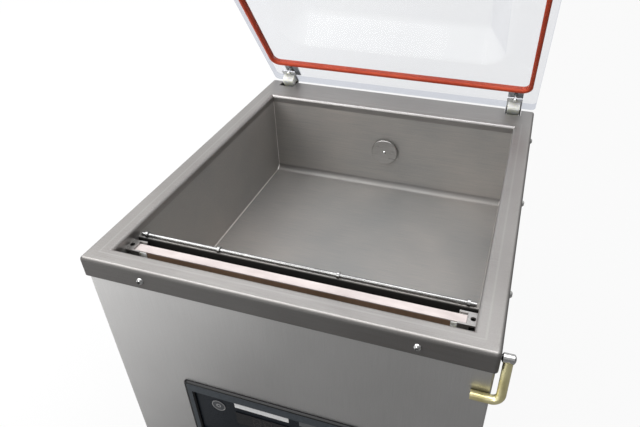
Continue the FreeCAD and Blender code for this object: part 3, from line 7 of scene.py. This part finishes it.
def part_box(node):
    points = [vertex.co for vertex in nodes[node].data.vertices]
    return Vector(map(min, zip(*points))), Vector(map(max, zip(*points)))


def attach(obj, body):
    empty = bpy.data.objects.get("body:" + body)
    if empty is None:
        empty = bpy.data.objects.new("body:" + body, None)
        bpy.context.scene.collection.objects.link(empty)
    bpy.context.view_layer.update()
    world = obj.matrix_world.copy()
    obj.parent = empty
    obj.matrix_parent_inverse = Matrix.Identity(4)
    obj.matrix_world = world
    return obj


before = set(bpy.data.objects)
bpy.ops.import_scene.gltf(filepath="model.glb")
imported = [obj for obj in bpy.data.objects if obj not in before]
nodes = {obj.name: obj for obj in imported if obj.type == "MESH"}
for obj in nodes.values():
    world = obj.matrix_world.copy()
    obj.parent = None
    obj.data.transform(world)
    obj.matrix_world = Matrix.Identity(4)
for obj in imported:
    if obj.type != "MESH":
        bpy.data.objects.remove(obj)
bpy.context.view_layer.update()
print("frame loaded:", len(nodes), "nodes")


# Small helpers for node trees
def newTree(name):
    material = bpy.data.materials.new(name)
    material.use_nodes = True
    tree = material.node_tree
    tree.nodes.clear()
    return material, tree


def feed(tree, socket, value):
    if isinstance(value, bpy.types.NodeSocket):
        tree.links.new(value, socket)
    else:
        socket.default_value = value


def add(tree, kind, settings=None, **sockets):
    made = tree.nodes.new("ShaderNode" + kind)
    for key, value in (settings or {}).items():
        setattr(made, key, value)
    for key, value in sockets.items():
        feed(tree, made.inputs[key.replace("_", " ")], value)
    return made


def reckon(tree, operation, *values):
    made = add(tree, "Math", {"operation": operation})
    for socket, value in zip(made.inputs, values):
        feed(tree, socket, value)
    return made.outputs["Value"]


def dotted(tree, first, second):
    made = add(tree, "VectorMath", {"operation": "DOT_PRODUCT"})
    feed(tree, made.inputs[0], first)
    feed(tree, made.inputs[1], second)
    return made.outputs["Value"]


def facing(tree):
    return add(tree, "TexCoord").outputs["Normal"]


def place(tree, stretch):
    where = add(tree, "TexCoord").outputs["Object"]
    return add(tree, "Mapping", Vector=where, Scale=stretch).outputs["Vector"]


def grain(tree, stretch, detail=4.0, roughness=0.55):
    made = add(tree, "TexNoise", Vector=place(tree, stretch), Scale=1.0, Detail=detail, Roughness=roughness)
    return made.outputs["Fac"]


def spread(tree, value, low, high, fromLow=0.3, fromHigh=0.7):
    made = add(tree, "MapRange", Value=value, From_Min=fromLow, From_Max=fromHigh, To_Min=low, To_Max=high)
    return made.outputs["Result"]


def ramp(tree, value, dark, light, start=0.3, stop=0.7):
    made = add(tree, "ValToRGB", Fac=value)
    first, last = made.color_ramp.elements
    first.position, first.color = start, (*dark, 1.0)
    last.position, last.color = stop, (*light, 1.0)
    return made.outputs["Color"]


def blend(tree, share, first, second, kind="MIX"):
    made = add(tree, "Mix", {"data_type": "RGBA", "blend_type": kind})
    for socket, value in ((made.inputs[0], share), (made.inputs[6], first), (made.inputs[7], second)):
        feed(tree, socket, value)
    return made.outputs[2]


def times(tree, first, second):
    return reckon(tree, "MULTIPLY", first, second)


def alongAxis(tree, axis):
    return add(tree, "SeparateXYZ", Vector=place(tree, (1.0, 1.0, 1.0))).outputs[axis]


def mixed(tree, share, first, second):
    made = add(tree, "MixShader", Fac=share)
    tree.links.new(first, made.inputs[1])
    tree.links.new(second, made.inputs[2])
    return made.outputs["Shader"]


# One where the camera sees a surface itself or through clear sheet, else nought
def seenPlainly(tree):
    path = add(tree, "LightPath")
    return reckon(tree, "MAXIMUM", path.outputs["Is Camera Ray"], path.outputs["Is Transmission Ray"])


def relief(tree, height, strength, depth):
    return add(tree, "Bump", Height=height, Strength=strength, Distance=depth).outputs["Normal"]


def close(tree, shader):
    out = add(tree, "OutputMaterial")
    tree.links.new(shader, out.inputs["Surface"])


def coat(tree, material, colour, roughness, normal, **sockets):
    shader = add(tree, "BsdfPrincipled", Base_Color=colour, Roughness=roughness, Normal=normal, **sockets)
    close(tree, shader.outputs["BSDF"])
    return material


# A pressed line round the mouth: the share is largest where the greater of two side distances is nought
def trackLine(tree, middle, half, wide, share):
    aside = []
    for axis, centre, reach in zip("XY", middle, half):
        away = reckon(tree, "ABSOLUTE", reckon(tree, "SUBTRACT", alongAxis(tree, axis), centre))
        aside.append(reckon(tree, "SUBTRACT", away, reach))
    distance = reckon(tree, "ABSOLUTE", reckon(tree, "MAXIMUM", *aside))
    return spread(tree, distance, share, 0.0, 0.2 * wide, wide)


# Brushed sheet: fine streaks along one axis under broad hand marks; painted shade darkens outward faces,
# level faces and bends
def brushedSteel(name, dark, light, along, rough, outer=1.0, level=1.0, bend=1.0, track=None):
    material, tree = newTree(name)
    stretch = [1400.0, 1400.0, 1400.0]
    stretch["xyz".index(along)] = 22.0
    streaks = grain(tree, stretch)
    marks = grain(tree, (5.0, 5.0, 5.0), 3.0)
    speckle = grain(tree, (900.0, 900.0, 900.0), 2.0)
    tone = reckon(tree, "MULTIPLY_ADD", streaks, 0.55, spread(tree, marks, 0.12, 0.34))
    colour = ramp(tree, tone, dark, light)
    colour = blend(tree, spread(tree, speckle, 0.0, 0.22), colour, (*dark, 1.0), "MULTIPLY")
    rise = add(tree, "SeparateXYZ", Vector=facing(tree)).outputs["Z"]
    outward = dotted(tree, facing(tree), place(tree, (1.0, 1.0, 0.0)))  # positive where a face looks away
    skirt = spread(tree, outward, 0.0, 1.0 - outer, 0.03, 0.2)
    flat = spread(tree, rise, 0.0, 1.0 - level, 0.1, 0.3)
    between = times(tree, rise, spread(tree, rise, 1.0, 0.0, 0.0, 1.0))  # largest half way round a bend
    fold = spread(tree, between, 0.0, 1.0 - bend, 0.02, 0.2)
    # Painted shade: skirt, flat and fold darken outward faces, level faces and faces half way round a bend
    # towards black
    for share in (skirt, flat, fold):
        colour = blend(tree, share, colour, (0.0, 0.0, 0.0, 1.0))
    if track:
        colour = blend(tree, times(tree, trackLine(tree, **track), rise), colour, (0.78, 0.78, 0.77, 1.0))
    roughness = spread(tree, tone, rough - 0.06, rough + 0.07)
    duller = reckon(tree, "MULTIPLY_ADD", skirt, 0.55, roughness)  # folded skirts are duller than the top
    return coat(tree, material, colour, duller, relief(tree, streaks, 0.1, 0.0002), Metallic=1.0)


def brightMetal(name, dark, light, rough):
    material, tree = newTree(name)
    turned = grain(tree, (700.0, 700.0, 2600.0), 2.0)
    marks = grain(tree, (60.0, 60.0, 60.0), 3.0)
    clear = add(tree, "AmbientOcclusion", Distance=0.0025).outputs["AO"]
    cavityShade = spread(tree, clear, 0.92, 0.0, 0.3, 0.65)  # painted shade: sockets and seams darkened by ambient occlusion
    colour = blend(tree, cavityShade, ramp(tree, marks, dark, light), (0.01, 0.01, 0.01, 1.0))
    roughness = spread(tree, turned, rough - 0.04, rough + 0.06)
    return coat(tree, material, colour, roughness, relief(tree, turned, 0.06, 0.0001), Metallic=1.0)


def castMetal(name, dark, light, rough, metallic):
    material, tree = newTree(name)
    sand = grain(tree, (420.0, 420.0, 420.0), 3.0)
    marks = grain(tree, (18.0, 18.0, 18.0), 4.0)
    colour = ramp(tree, marks, dark, light)
    roughness = spread(tree, sand, rough - 0.08, rough + 0.08)
    return coat(tree, material, colour, roughness, relief(tree, sand, 0.3, 0.0004), Metallic=metallic)


def softPlastic(name, dark, light, rough, fineness=300.0, depth=0.0002, **sockets):
    material, tree = newTree(name)
    skin = grain(tree, (fineness, fineness, fineness), 3.0)
    tone = grain(tree, (14.0, 14.0, 14.0), 4.0)
    colour = ramp(tree, tone, dark, light)
    roughness = spread(tree, skin, rough - 0.06, rough + 0.06)
    return coat(tree, material, colour, roughness, relief(tree, skin, 0.12, depth), **sockets)


# Zinc plate passivated yellow: brassy with olive and rose clouds
def yellowZinc():
    material, tree = newTree("yellowZincFinish")
    clouds = grain(tree, (55.0, 55.0, 55.0), 5.0)
    fine = grain(tree, (900.0, 900.0, 900.0), 2.0)
    brass = ramp(tree, clouds, (0.5, 0.44, 0.19), (0.84, 0.78, 0.46), 0.35, 0.62)
    blush = grain(tree, (90.0, 70.0, 80.0), 3.0)
    rose = ramp(tree, blush, (0.78, 0.72, 0.42), (0.8, 0.64, 0.44), 0.5, 0.75)
    colour = blend(tree, 0.35, brass, rose)
    roughness = spread(tree, fine, 0.28, 0.42)
    return coat(tree, material, colour, roughness, relief(tree, fine, 0.1, 0.0001), Metallic=1.0)


def threads(tree, way, count, waver):
    where = place(tree, (count, count, count))
    return add(tree, "TexWave", {"bands_direction": way}, Vector=where, Scale=1.0, Distortion=waver)


# Woven cloth: two crossed sets of threads under a smooth coat
def ptfeCloth():
    material, tree = newTree("ptfeClothFinish")
    warp, weft = [threads(tree, way, 300.0, 0.4).outputs["Color"] for way in "XY"]
    weave = blend(tree, 0.5, warp, weft)
    tone = grain(tree, (25.0, 60.0, 60.0), 4.0)
    colour = ramp(tree, tone, (0.44, 0.385, 0.375), (0.55, 0.495, 0.48))
    colour = blend(tree, 0.12, colour, weave, "MULTIPLY")
    roughness = spread(tree, tone, 0.4, 0.55)
    return coat(tree, material, colour, roughness, relief(tree, weave, 0.15, 0.0001))


# Moulded clear sheet: light passes straight on, the surface mirrors by angle, and a faint haze greys it
def clearAcrylic(lidOpen):
    material, tree = newTree("clearAcrylicFinish")
    haze = grain(tree, (7.0, 7.0, 7.0), 3.0)
    wipe = grain(tree, (36.0, 8.0, 36.0), 3.0)
    backward = add(tree, "NewGeometry").outputs["Backfacing"]
    outer = spread(tree, backward, 1.0, 0.0, 0.0, 1.0)  # skins that face out
    grazingShade = times(tree, add(tree, "Fresnel", IOR=1.45).outputs["Fac"], outer)
    mirror = times(tree, add(tree, "Fresnel", IOR=1.14).outputs["Fac"], outer)
    upward = (0.0, math.sin(lidOpen), math.cos(lidOpen))
    flatness = reckon(tree, "ABSOLUTE", dotted(tree, facing(tree), upward))
    rim = spread(tree, flatness, 1.0, 0.0, 0.2, 0.35)  # the sheet's sawn edges
    tint = ramp(tree, haze, (0.945, 0.95, 0.96), (0.965, 0.97, 0.975))
    tint = blend(tree, rim, tint, (0.72, 0.74, 0.79, 1.0))
    tint = blend(tree, grazingShade, tint, (0.55, 0.56, 0.64, 1.0))  # painted shade: a darker tint at grazing angles makes the bends look deeper
    clear = add(tree, "BsdfTransparent", Color=tint).outputs["BSDF"]
    shine = add(tree, "BsdfGlossy", Color=(1.0, 1.0, 1.0, 1.0), Roughness=spread(tree, wipe, 0.01, 0.05),
                Normal=relief(tree, haze, 0.02, 0.0015)).outputs["BSDF"]
    smear = ramp(tree, wipe, (0.75, 0.76, 0.78), (0.85, 0.86, 0.87))
    milk = add(tree, "BsdfDiffuse", Color=smear).outputs["BSDF"]
    close(tree, mixed(tree, spread(tree, haze, 0.03, 0.06), mixed(tree, mirror, clear, shine), milk))
    return material


def glassDrop(name, dark, light):
    material, tree = newTree(name)
    swirl = grain(tree, (80.0, 80.0, 80.0), 3.0)
    colour = ramp(tree, swirl, dark, light)
    roughness = spread(tree, swirl, 0.02, 0.08)
    normal = relief(tree, swirl, 0.04, 0.0003)
    return coat(tree, material, colour, roughness, normal, Transmission_Weight=0.8, IOR=1.47)


# Circuit board: copper lines seen as paler bands through the green lacquer
def boardGreen():
    material, tree = newTree("boardGreenFinish")
    where = place(tree, (160.0, 160.0, 160.0))
    lines = add(tree, "TexVoronoi", {"distance": "MANHATTAN"}, Vector=where, Scale=1.0).outputs["Distance"]
    colour = ramp(tree, lines, (0.01, 0.09, 0.035), (0.03, 0.2, 0.08), 0.2, 0.5)
    return coat(tree, material, colour, spread(tree, lines, 0.25, 0.45), relief(tree, lines, 0.2, 0.0002))


# Wound copper: fine turns round the core
def copperWound():
    material, tree = newTree("copperWoundFinish")
    turns = threads(tree, "Z", 420.0, 0.6).outputs["Fac"]
    colour = ramp(tree, turns, (0.16, 0.05, 0.02), (0.52, 0.22, 0.1))
    roughness = spread(tree, turns, 0.25, 0.5)
    return coat(tree, material, colour, roughness, relief(tree, turns, 0.4, 0.0005), Metallic=0.8)


# Panel frame: the flat face is slate grey, and its bevels and a band along its outer edge are gloss black
def bezelPlastic(low, high, band):
    material, tree = newTree("bezelFinish")
    skin = grain(tree, (500.0, 500.0, 500.0), 3.0)
    front = add(tree, "SeparateXYZ", Vector=facing(tree)).outputs["Y"]
    inside = spread(tree, front, 1.0, 0.0, -0.98, -0.9)
    for axis, least, most in (("X", low.x, high.x), ("Z", low.z, high.z)):
        middle = (least + most) / 2.0
        reach = (most - least) / 2.0 - band
        inside = times(tree, inside, reckon(tree, "COMPARE", alongAxis(tree, axis), middle, reach))
    slate = ramp(tree, skin, (0.03, 0.036, 0.042), (0.045, 0.053, 0.062))
    colour = blend(tree, inside, (0.004, 0.004, 0.005, 1.0), slate)
    roughness = spread(tree, inside, 0.2, 0.4, 0.0, 1.0)
    return coat(tree, material, colour, roughness, relief(tree, skin, 0.1, 0.0001), Specular_IOR_Level=0.2)


# Bare labels: white film on the left of the panel and slate film on the right
def labelFilm(edge):
    material, tree = newTree("labelFinish")
    skin = grain(tree, (400.0, 400.0, 400.0), 3.0)
    white = ramp(tree, skin, (0.6, 0.6, 0.6), (0.72, 0.72, 0.72))
    slate = ramp(tree, skin, (0.07, 0.075, 0.08), (0.1, 0.105, 0.11))
    colour = blend(tree, spread(tree, alongAxis(tree, "X"), 0.0, 1.0, *edge), white, slate)
    return coat(tree, material, colour, spread(tree, skin, 0.4, 0.5), relief(tree, skin, 0.08, 0.0001))


# Where the gasket presses on the deck: its inner edge lies this far in from the deck's own edges
press = {"front": 0.0165, "rear": 0.056, "side": 0.017}
deckLow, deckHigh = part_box("deck")
pressLow, pressHigh = deckLow.y + press["front"], deckHigh.y - press["rear"]
gasketTrack = {
    "middle": ((deckLow.x + deckHigh.x) / 2.0, (pressLow + pressHigh) / 2.0),
    "half": ((deckHigh.x - deckLow.x) / 2.0 - press["side"], (pressHigh - pressLow) / 2.0),
    "wide": 0.0016,
    "share": 0.1,
}
lidOpenAngle = math.radians(54.3)
bezelBand = 0.0045
labelEdge = (0.011, 0.013)
tankTones = ((0.37, 0.38, 0.38), (0.58, 0.54, 0.505))
finishes = {
    # Painted shade: outer darkens the deck's outward skirt faces
    "deckSteel": (brushedSteel("deckSteelFinish", (0.3, 0.285, 0.275), (0.44, 0.43, 0.42), "x", 0.42,
                               outer=0.45, track=gasketTrack), ["deck"]),
    # Painted shade: level darkens the tank's upward faces and bend darkens its bends
    "tankSteel": (brushedSteel("tankSteelFinish", *tankTones, "x", 0.6, level=0.78, bend=0.6),
                  ["tank_wrap", "tank_end_left", "tank_end_right"]),
    # Painted shade: outer darkens the rest plate's front flange nearly to black, as the dark gap behind the
    # seal bar
    "restSteel": (brushedSteel("restSteelFinish", *tankTones, "x", 0.6, outer=0.1, level=0.78),
                  ["bag_rest_plate"]),
    "wrapSteel": (brushedSteel("wrapSteelFinish", (0.46, 0.455, 0.45), (0.55, 0.545, 0.54), "z", 0.36),
                  ["cabinet_wrap", "rear_panel"]),
    "trimSteel": (brushedSteel("trimSteelFinish", (0.4, 0.39, 0.38), (0.58, 0.57, 0.56), "x", 0.3),
                  ["suction_cover", "bar_guide_left", "bar_guide_right", "suction_pipe"]),
    "baseSteel": (castMetal("baseSteelFinish", (0.2, 0.2, 0.2), (0.32, 0.32, 0.32), 0.45, 1.0),
                  ["base_pan"]),
    # Painted shade: the hinge brackets are near black so that the hinge slots read as dark
    "bracketShade": (castMetal("bracketShadeFinish", (0.04, 0.04, 0.04), (0.08, 0.08, 0.08), 0.55, 1.0),
                     ["hinge_bracket_left", "hinge_bracket_right"]),
    "leaf": (castMetal("leafFinish", (0.5, 0.51, 0.53), (0.64, 0.65, 0.67), 0.5, 0.35), ["hinge_leaves"]),
    "bright": (brightMetal("brightFinish", (0.42, 0.42, 0.42), (0.6, 0.6, 0.59), 0.2),
               ["rear_panel_screws", "skirt_screws", "suction_screw", "hinge_pins", "hinge_bolts",
                "latch_pin", "lift_pistons"]),
    "rod": (brightMetal("rodFinish", (0.24, 0.24, 0.24), (0.36, 0.36, 0.355), 0.26),
            ["bag_rod", "rod_clips"]),
    "alloy": (brightMetal("alloyFinish", (0.46, 0.46, 0.47), (0.62, 0.62, 0.63), 0.32),
              ["lift_cylinders", "pressure_holder"]),
    "acrylic": (clearAcrylic(lidOpenAngle), ["lid_shell"]),
    "orange": (softPlastic("orangeFinish", (0.42, 0.048, 0.018), (0.54, 0.072, 0.027), 0.5,
                           Specular_IOR_Level=0.2), ["lid_gasket"]),
    "greyRubber": (softPlastic("greyRubberFinish", (0.3, 0.3, 0.3), (0.42, 0.42, 0.42), 0.5),
                   ["pressure_strip"]),
    "ivory": (softPlastic("ivoryFinish", (0.8, 0.83, 0.7), (0.9, 0.92, 0.82), 0.4, Subsurface_Weight=0.7,
                          Subsurface_Radius=(0.02, 0.02, 0.016), Subsurface_Scale=1.0),
              ["hinge_block_left", "hinge_block_right", "bar_cap_left", "bar_cap_right"]),
    "bakelite": (softPlastic("bakeliteFinish", (0.17, 0.105, 0.065), (0.26, 0.17, 0.11), 0.4),
                 ["seal_bar_body"]),
    "ptfe": (ptfeCloth(), ["ptfe_cover"]),
    "nichrome": (brightMetal("nichromeFinish", (0.36, 0.33, 0.3), (0.5, 0.46, 0.42), 0.28),
                 ["heating_band"]),
    "zinc": (yellowZinc(), ["latch_hook"]),
    "bezel": (bezelPlastic(*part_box("panel_bezel"), bezelBand), ["panel_bezel"]),
    "film": (softPlastic("filmFinish", (0.003, 0.005, 0.008), (0.006, 0.009, 0.014), 0.3, 900.0, 0.0001,
                         Specular_IOR_Level=0.15), ["panel_face"]),
    "smoke": (softPlastic("smokeFinish", (0.004, 0.004, 0.005), (0.008, 0.008, 0.01), 0.12,
                          Specular_IOR_Level=0.25), ["display_window"]),
    "label": (labelFilm(labelEdge), ["bare_labels"]),
    "key": (softPlastic("keyFinish", (0.02, 0.022, 0.026), (0.035, 0.038, 0.044), 0.4),
            ["key_power", "key_select", "key_minus", "key_plus", "key_stop"]),
    "rubber": (softPlastic("rubberFinish", (0.012, 0.012, 0.012), (0.03, 0.03, 0.03), 0.65, 240.0, 0.0005),
               ["rubber_feet", "vacuum_hose"]),
    "board": (boardGreen(), ["control_board"]),
    "pumpPaint": (castMetal("pumpPaintFinish", (0.13, 0.16, 0.18), (0.19, 0.225, 0.25), 0.5, 0.0),
                  ["pump_body", "oil_box", "pump_motor"]),
    "sight": (glassDrop("sightFinish", (0.75, 0.62, 0.3), (0.9, 0.82, 0.55)), ["oil_sight_glass"]),
    "blackPlastic": (softPlastic("blackPlasticFinish", (0.014, 0.014, 0.015), (0.035, 0.035, 0.037), 0.5),
                     ["fan_cowl", "cooling_fan", "mains_inlet", "air_valve", "lid_sensor"]),
    "copper": (copperWound(), ["seal_transformer"]),
    "red": (softPlastic("redFinish", (0.4, 0.02, 0.015), (0.55, 0.04, 0.03), 0.3), ["mains_rocker"]),
}
for finish, members in finishes.values():
    for member in members:
        nodes[member].data.materials.clear()
        nodes[member].data.materials.append(finish)
print("finishes set:", len(finishes))


# A piece from its arrays, with its finish and the body that carries it
def newPiece(name, verts, faces, finish, body, slotName):
    mesh = bpy.data.meshes.new(name)
    mesh.from_pydata(verts.tolist(), [], faces.tolist())
    mesh.materials.append(finish)
    piece = bpy.data.objects.new(name, mesh)
    bpy.context.scene.collection.objects.link(piece)
    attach(piece, body)


# A flat ring: a four-cornered section swept round, with the point at angle a at (r sin a, r cos a)
def ringArrays(centre, inner, outer, thick, steps=72):
    angle = np.linspace(0.0, 2.0 * math.pi, steps + 1)
    radius = np.array([inner, outer, outer, inner])
    depth = np.array([-thick, -thick, 0.0, 0.0])
    x = centre[0] + np.outer(np.sin(angle), radius)
    z = centre[2] + np.outer(np.cos(angle), radius)
    y = np.broadcast_to(centre[1] + depth, x.shape)
    verts = np.stack([x, y, z], -1).reshape(-1, 3)
    i, j = np.meshgrid(np.arange(steps), np.arange(4), indexing="ij")
    k = (j + 1) % 4
    faces = np.stack([i * 4 + j, (i + 1) * 4 + j, (i + 1) * 4 + k, i * 4 + k], -1).reshape(-1, 4)
    return verts, faces


# A bar with round ends: two half circles of the bar's half width, joined and pushed out by the thickness
def barArrays(centre, halfLong, halfWide, thick, turn, steps=12):
    side = np.linspace(-0.5 * math.pi, 0.5 * math.pi, steps)
    across = np.concatenate([np.cos(side), -np.cos(side)]) * halfWide
    across = across + np.repeat([halfLong - halfWide, halfWide - halfLong], steps)
    up = np.concatenate([np.sin(side), -np.sin(side)]) * halfWide
    x = centre[0] + across * math.cos(turn) - up * math.sin(turn)
    z = centre[2] + across * math.sin(turn) + up * math.cos(turn)
    count = 2 * steps
    front = np.stack([x, np.full(count, centre[1] - thick), z], -1)
    back = np.stack([x, np.full(count, centre[1]), z], -1)
    middle = np.array([[centre[0], centre[1] - thick, centre[2]], [centre[0], centre[1], centre[2]]])
    i = np.arange(count)
    k = (i + 1) % count
    cap = np.stack([i, k, np.full(count, 2 * count)], -1)
    base = np.stack([k + count, i + count, np.full(count, 2 * count + 1)], -1)
    wall = np.concatenate([np.stack([k, i, i + count], -1), np.stack([k, i + count, k + count], -1)])
    return np.concatenate([front, back, middle]), np.concatenate([cap, base, wall])


def joined(parts):
    starts = np.cumsum([0] + [len(part[0]) for part in parts[:-1]])
    verts = np.concatenate([part[0] for part in parts])
    faces = np.concatenate([part[1] + start for part, start in zip(parts, starts)])
    return verts, faces


def frontOf(node):
    low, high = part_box(node)
    return ((low.x + high.x) / 2.0, low.y, (low.z + high.z) / 2.0)


markFinish = softPlastic("markFinish", (0.32, 0.32, 0.32), (0.42, 0.42, 0.42), 0.5)
segmentFinish = softPlastic("segmentFinish", (0.008, 0.006, 0.006), (0.013, 0.009, 0.009), 0.4)
markThick = 0.00015

ringMark = {"outer": 0.0096, "line": 0.0006, "inner": 0.0032, "innerLine": 0.0009}
spot = frontOf("key_power")
outerRing = ringArrays(spot, ringMark["outer"] - ringMark["line"], ringMark["outer"], markThick)
innerRing = ringArrays(spot, ringMark["inner"] - ringMark["innerLine"], ringMark["inner"], markThick)
newPiece("power_mark", *joined([outerRing, innerRing]), markFinish, "key_power_body", "label_white")


# Each stroke is a bar: its place across and up from the middle of the key or window, and its turn
def strokeArrays(node, strokes, half, wide):
    x, y, z = frontOf(node)
    return joined([barArrays((x + dx, y, z + dz), half, wide, markThick, turn) for dx, dz, turn in strokes])


upright = math.pi / 2.0
barMark = {"half": 0.0042, "wide": 0.0007, "rung": 0.0024}
reach, rung = barMark["half"], barMark["rung"]
marks = {
    "key_minus": [(0.0, 0.0, 0.0)],
    "key_plus": [(0.0, 0.0, 0.0), (0.0, 0.0, upright)],
    "key_select": [(0.0, rung, 0.0), (0.0, 0.0, 0.0), (0.0, -rung, 0.0)],
    "key_stop": [(0.0, reach, 0.0), (0.0, -reach, 0.0), (reach, 0.0, upright), (-reach, 0.0, upright)],
}
for key, strokes in marks.items():
    bars = strokeArrays(key, strokes, barMark["half"], barMark["wide"])
    newPiece(key + "_mark", *bars, markFinish, key + "_body", "label_white")


# Weld bead: a round bead whose middle runs down the tank's front, round both bends and up its back
def beadArrays(x, low, high, floorZ, topZ, bend, radius, thin, steps=10, sides=10):
    turn = np.linspace(0.0, 0.5 * math.pi, steps)
    frontArc = np.stack([low + bend - bend * np.cos(turn), floorZ + bend - bend * np.sin(turn)], -1)
    rearArc = np.stack([high - bend + bend * np.sin(turn), floorZ + bend - bend * np.cos(turn)], -1)
    path = np.concatenate([[[low, topZ]], frontArc, rearArc, [[high, topZ]]])
    ahead = np.gradient(path, axis=0)
    ahead = ahead / np.linalg.norm(ahead, axis=1, keepdims=True)
    angle = np.linspace(0.0, 2.0 * math.pi, sides, endpoint=False)
    thick = np.where(path[:, 1] > floorZ + 0.5 * bend, thin, 1.0) * radius  # ground down on the walls
    out = np.outer(thick, np.cos(angle))
    y = path[:, :1] - ahead[:, 1:] * out
    z = path[:, 1:] + ahead[:, :1] * out
    across = x + np.outer(thick, np.sin(angle))
    verts = np.stack([across, y, z], -1).reshape(-1, 3)
    i, j = np.meshgrid(np.arange(len(path) - 1), np.arange(sides), indexing="ij")
    k = (j + 1) % sides
    here, following = i * sides, (i + 1) * sides
    faces = np.stack([here + j, here + k, following + k, following + j], -1).reshape(-1, 4)
    return verts, faces


weld = {"radius": 0.0014, "wall": 0.002, "bend": 0.011, "thin": 0.45}
tankLow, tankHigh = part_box("tank_wrap")
# Partly painted highlight: a real weld bead, given a finish paler than the tank so it shows as a bright
# line
weldHighlightFinish = castMetal("weldHighlightFinish", (0.66, 0.64, 0.61), (0.9, 0.88, 0.85), 0.4, 1.0)
for name, x in (("tank_weld_left", tankLow.x), ("tank_weld_right", tankHigh.x)):
    bead = beadArrays(x, tankLow.y + weld["wall"], tankHigh.y - weld["wall"], tankLow.z + weld["wall"],
                      tankHigh.z, weld["bend"], weld["radius"], weld["thin"])
    newPiece(name, *bead, weldHighlightFinish, "cabinet", "satin_steel")

# Two numerals of seven bars each, both showing an eight, as a display test does
digit = {"pitch": 0.016, "half": 0.0042, "wide": 0.0009, "rise": 0.0096, "splay": 1.15}
strokes = []
for column in (-0.5, 0.5):
    middle = column * digit["pitch"]
    for level in (-1.0, 0.0, 1.0):
        strokes.append((middle, level * digit["rise"], 0.0))
    for side in (-1.0, 1.0):
        for level in (-0.5, 0.5):
            strokes.append((middle + side * digit["half"] * digit["splay"], level * digit["rise"], upright))
bars = strokeArrays("display_window", strokes, digit["half"], digit["wide"])
newPiece("display_numerals", *bars, segmentFinish, "cabinet", "display_smoke")
print("marks made")


# Pale floor: white to the camera apart from a soft share of its real shading; to other rays it carries
# painted shade, darkening towards +x
def floorFinish():
    material, tree = newTree("floorFinish")
    tone = grain(tree, (2.0, 2.0, 2.0), 3.0)
    fade = spread(tree, alongAxis(tree, "X"), 0.0, 1.0, -1.3, -0.1)
    # Painted shade: to reflections and bounce light the floor darkens from white to dark grey towards +x
    floorShadeSweep = ramp(tree, fade, (1.0, 1.0, 1.0), (0.2, 0.2, 0.2), 0.25, 0.95)
    colour = blend(tree, spread(tree, tone, 0.0, 0.06), floorShadeSweep, (0.5, 0.5, 0.5, 1.0))
    cloth = add(tree, "BsdfDiffuse", Color=colour).outputs["BSDF"]
    white = add(tree, "Emission", Color=(1.0, 1.0, 1.0, 1.0), Strength=1.0).outputs["Emission"]
    close(tree, mixed(tree, spread(tree, seenPlainly(tree), 0.0, 0.94, 0.0, 1.0), cloth, white))
    return material


floorHalf = 12.0
floorMesh = bpy.data.meshes.new("studioFloor")
corners = [(x * floorHalf, y * floorHalf, 0.0) for x, y in ((-1, -1), (1, -1), (1, 1), (-1, 1))]
floorMesh.from_pydata(corners, [], [(0, 1, 2, 3)])
floorMesh.materials.append(floorFinish())
floor = bpy.data.objects.new("studioFloor", floorMesh)
bpy.context.scene.collection.objects.link(floor)


# Studio round the object: white behind, brighter above and behind than low in front
def studioWorld():
    world = bpy.data.worlds.new("studio")
    world.use_nodes = True
    tree = world.node_tree
    tree.nodes.clear()
    slope = dotted(tree, add(tree, "TexCoord").outputs["Generated"], (-0.35, 0.45, 0.6))
    lift = spread(tree, slope, 0.0, 1.0, -0.8, 0.8)
    shade = ramp(tree, lift, (0.12, 0.12, 0.12), (1.0, 1.0, 1.0), 0.1, 0.85)
    colour = blend(tree, seenPlainly(tree), shade, (1.0, 1.0, 1.0, 1.0))
    sky = add(tree, "Background", Color=colour, Strength=1.0)
    out = add(tree, "OutputWorld")
    tree.links.new(sky.outputs["Background"], out.inputs["Surface"])
    bpy.context.scene.world = world


def softLamp(name, spot, aim, size, power):
    lamp = bpy.data.lights.new(name, "AREA")
    lamp.shape = "SQUARE"
    lamp.size = size
    lamp.energy = power
    made = bpy.data.objects.new(name, lamp)
    toward = Vector(aim) - Vector(spot)
    made.matrix_world = Matrix.Translation(spot) @ toward.to_track_quat("-Z", "Y").to_matrix().to_4x4()
    made.visible_camera = False
    bpy.context.scene.collection.objects.link(made)


studioWorld()
lamps = {
    "keyLamp": {"spot": (-1.7, -0.4, 2.4), "aim": (0.0, 0.0, 0.4), "size": 1.6, "power": 45.0},
    "topLamp": {"spot": (0.1, -0.1, 2.3), "aim": (0.05, 0.0, 0.3), "size": 1.4, "power": 26.0},
    "frontLamp": {"spot": (-0.9, -2.4, 1.5), "aim": (0.0, -0.2, 0.3), "size": 1.2, "power": 21.0},
}
for name, lamp in lamps.items():
    softLamp(name, **lamp)


# Camera solved from the deck's edges, the opening and the screws
view = {"spot": (0.21289, -0.66002, 0.85502), "heading": 18.1095, "pitch": 36.4203, "roll": -0.3946}
lens = {
    "sensor_width": 36.0, "lens": 31.58, "shift_x": -0.0461, "shift_y": 0.0134,
    "clip_start": 0.02, "clip_end": 60.0,
}
camera = bpy.data.cameras.new("photoCamera")
for setting, value in lens.items():
    setattr(camera, setting, value)
eye = bpy.data.objects.new("photoCamera", camera)
eye.matrix_world = (
    Matrix.Translation(view["spot"])
    @ Matrix.Rotation(math.radians(view["heading"]), 4, "Z")
    @ Matrix.Rotation(math.radians(90.0 - view["pitch"]), 4, "X")
    @ Matrix.Rotation(math.radians(view["roll"]), 4, "Z")
)
bpy.context.scene.collection.objects.link(eye)
bpy.context.scene.camera = eye
bpy.context.scene.view_settings.view_transform = "Standard"
print("stage, lamps and camera set")
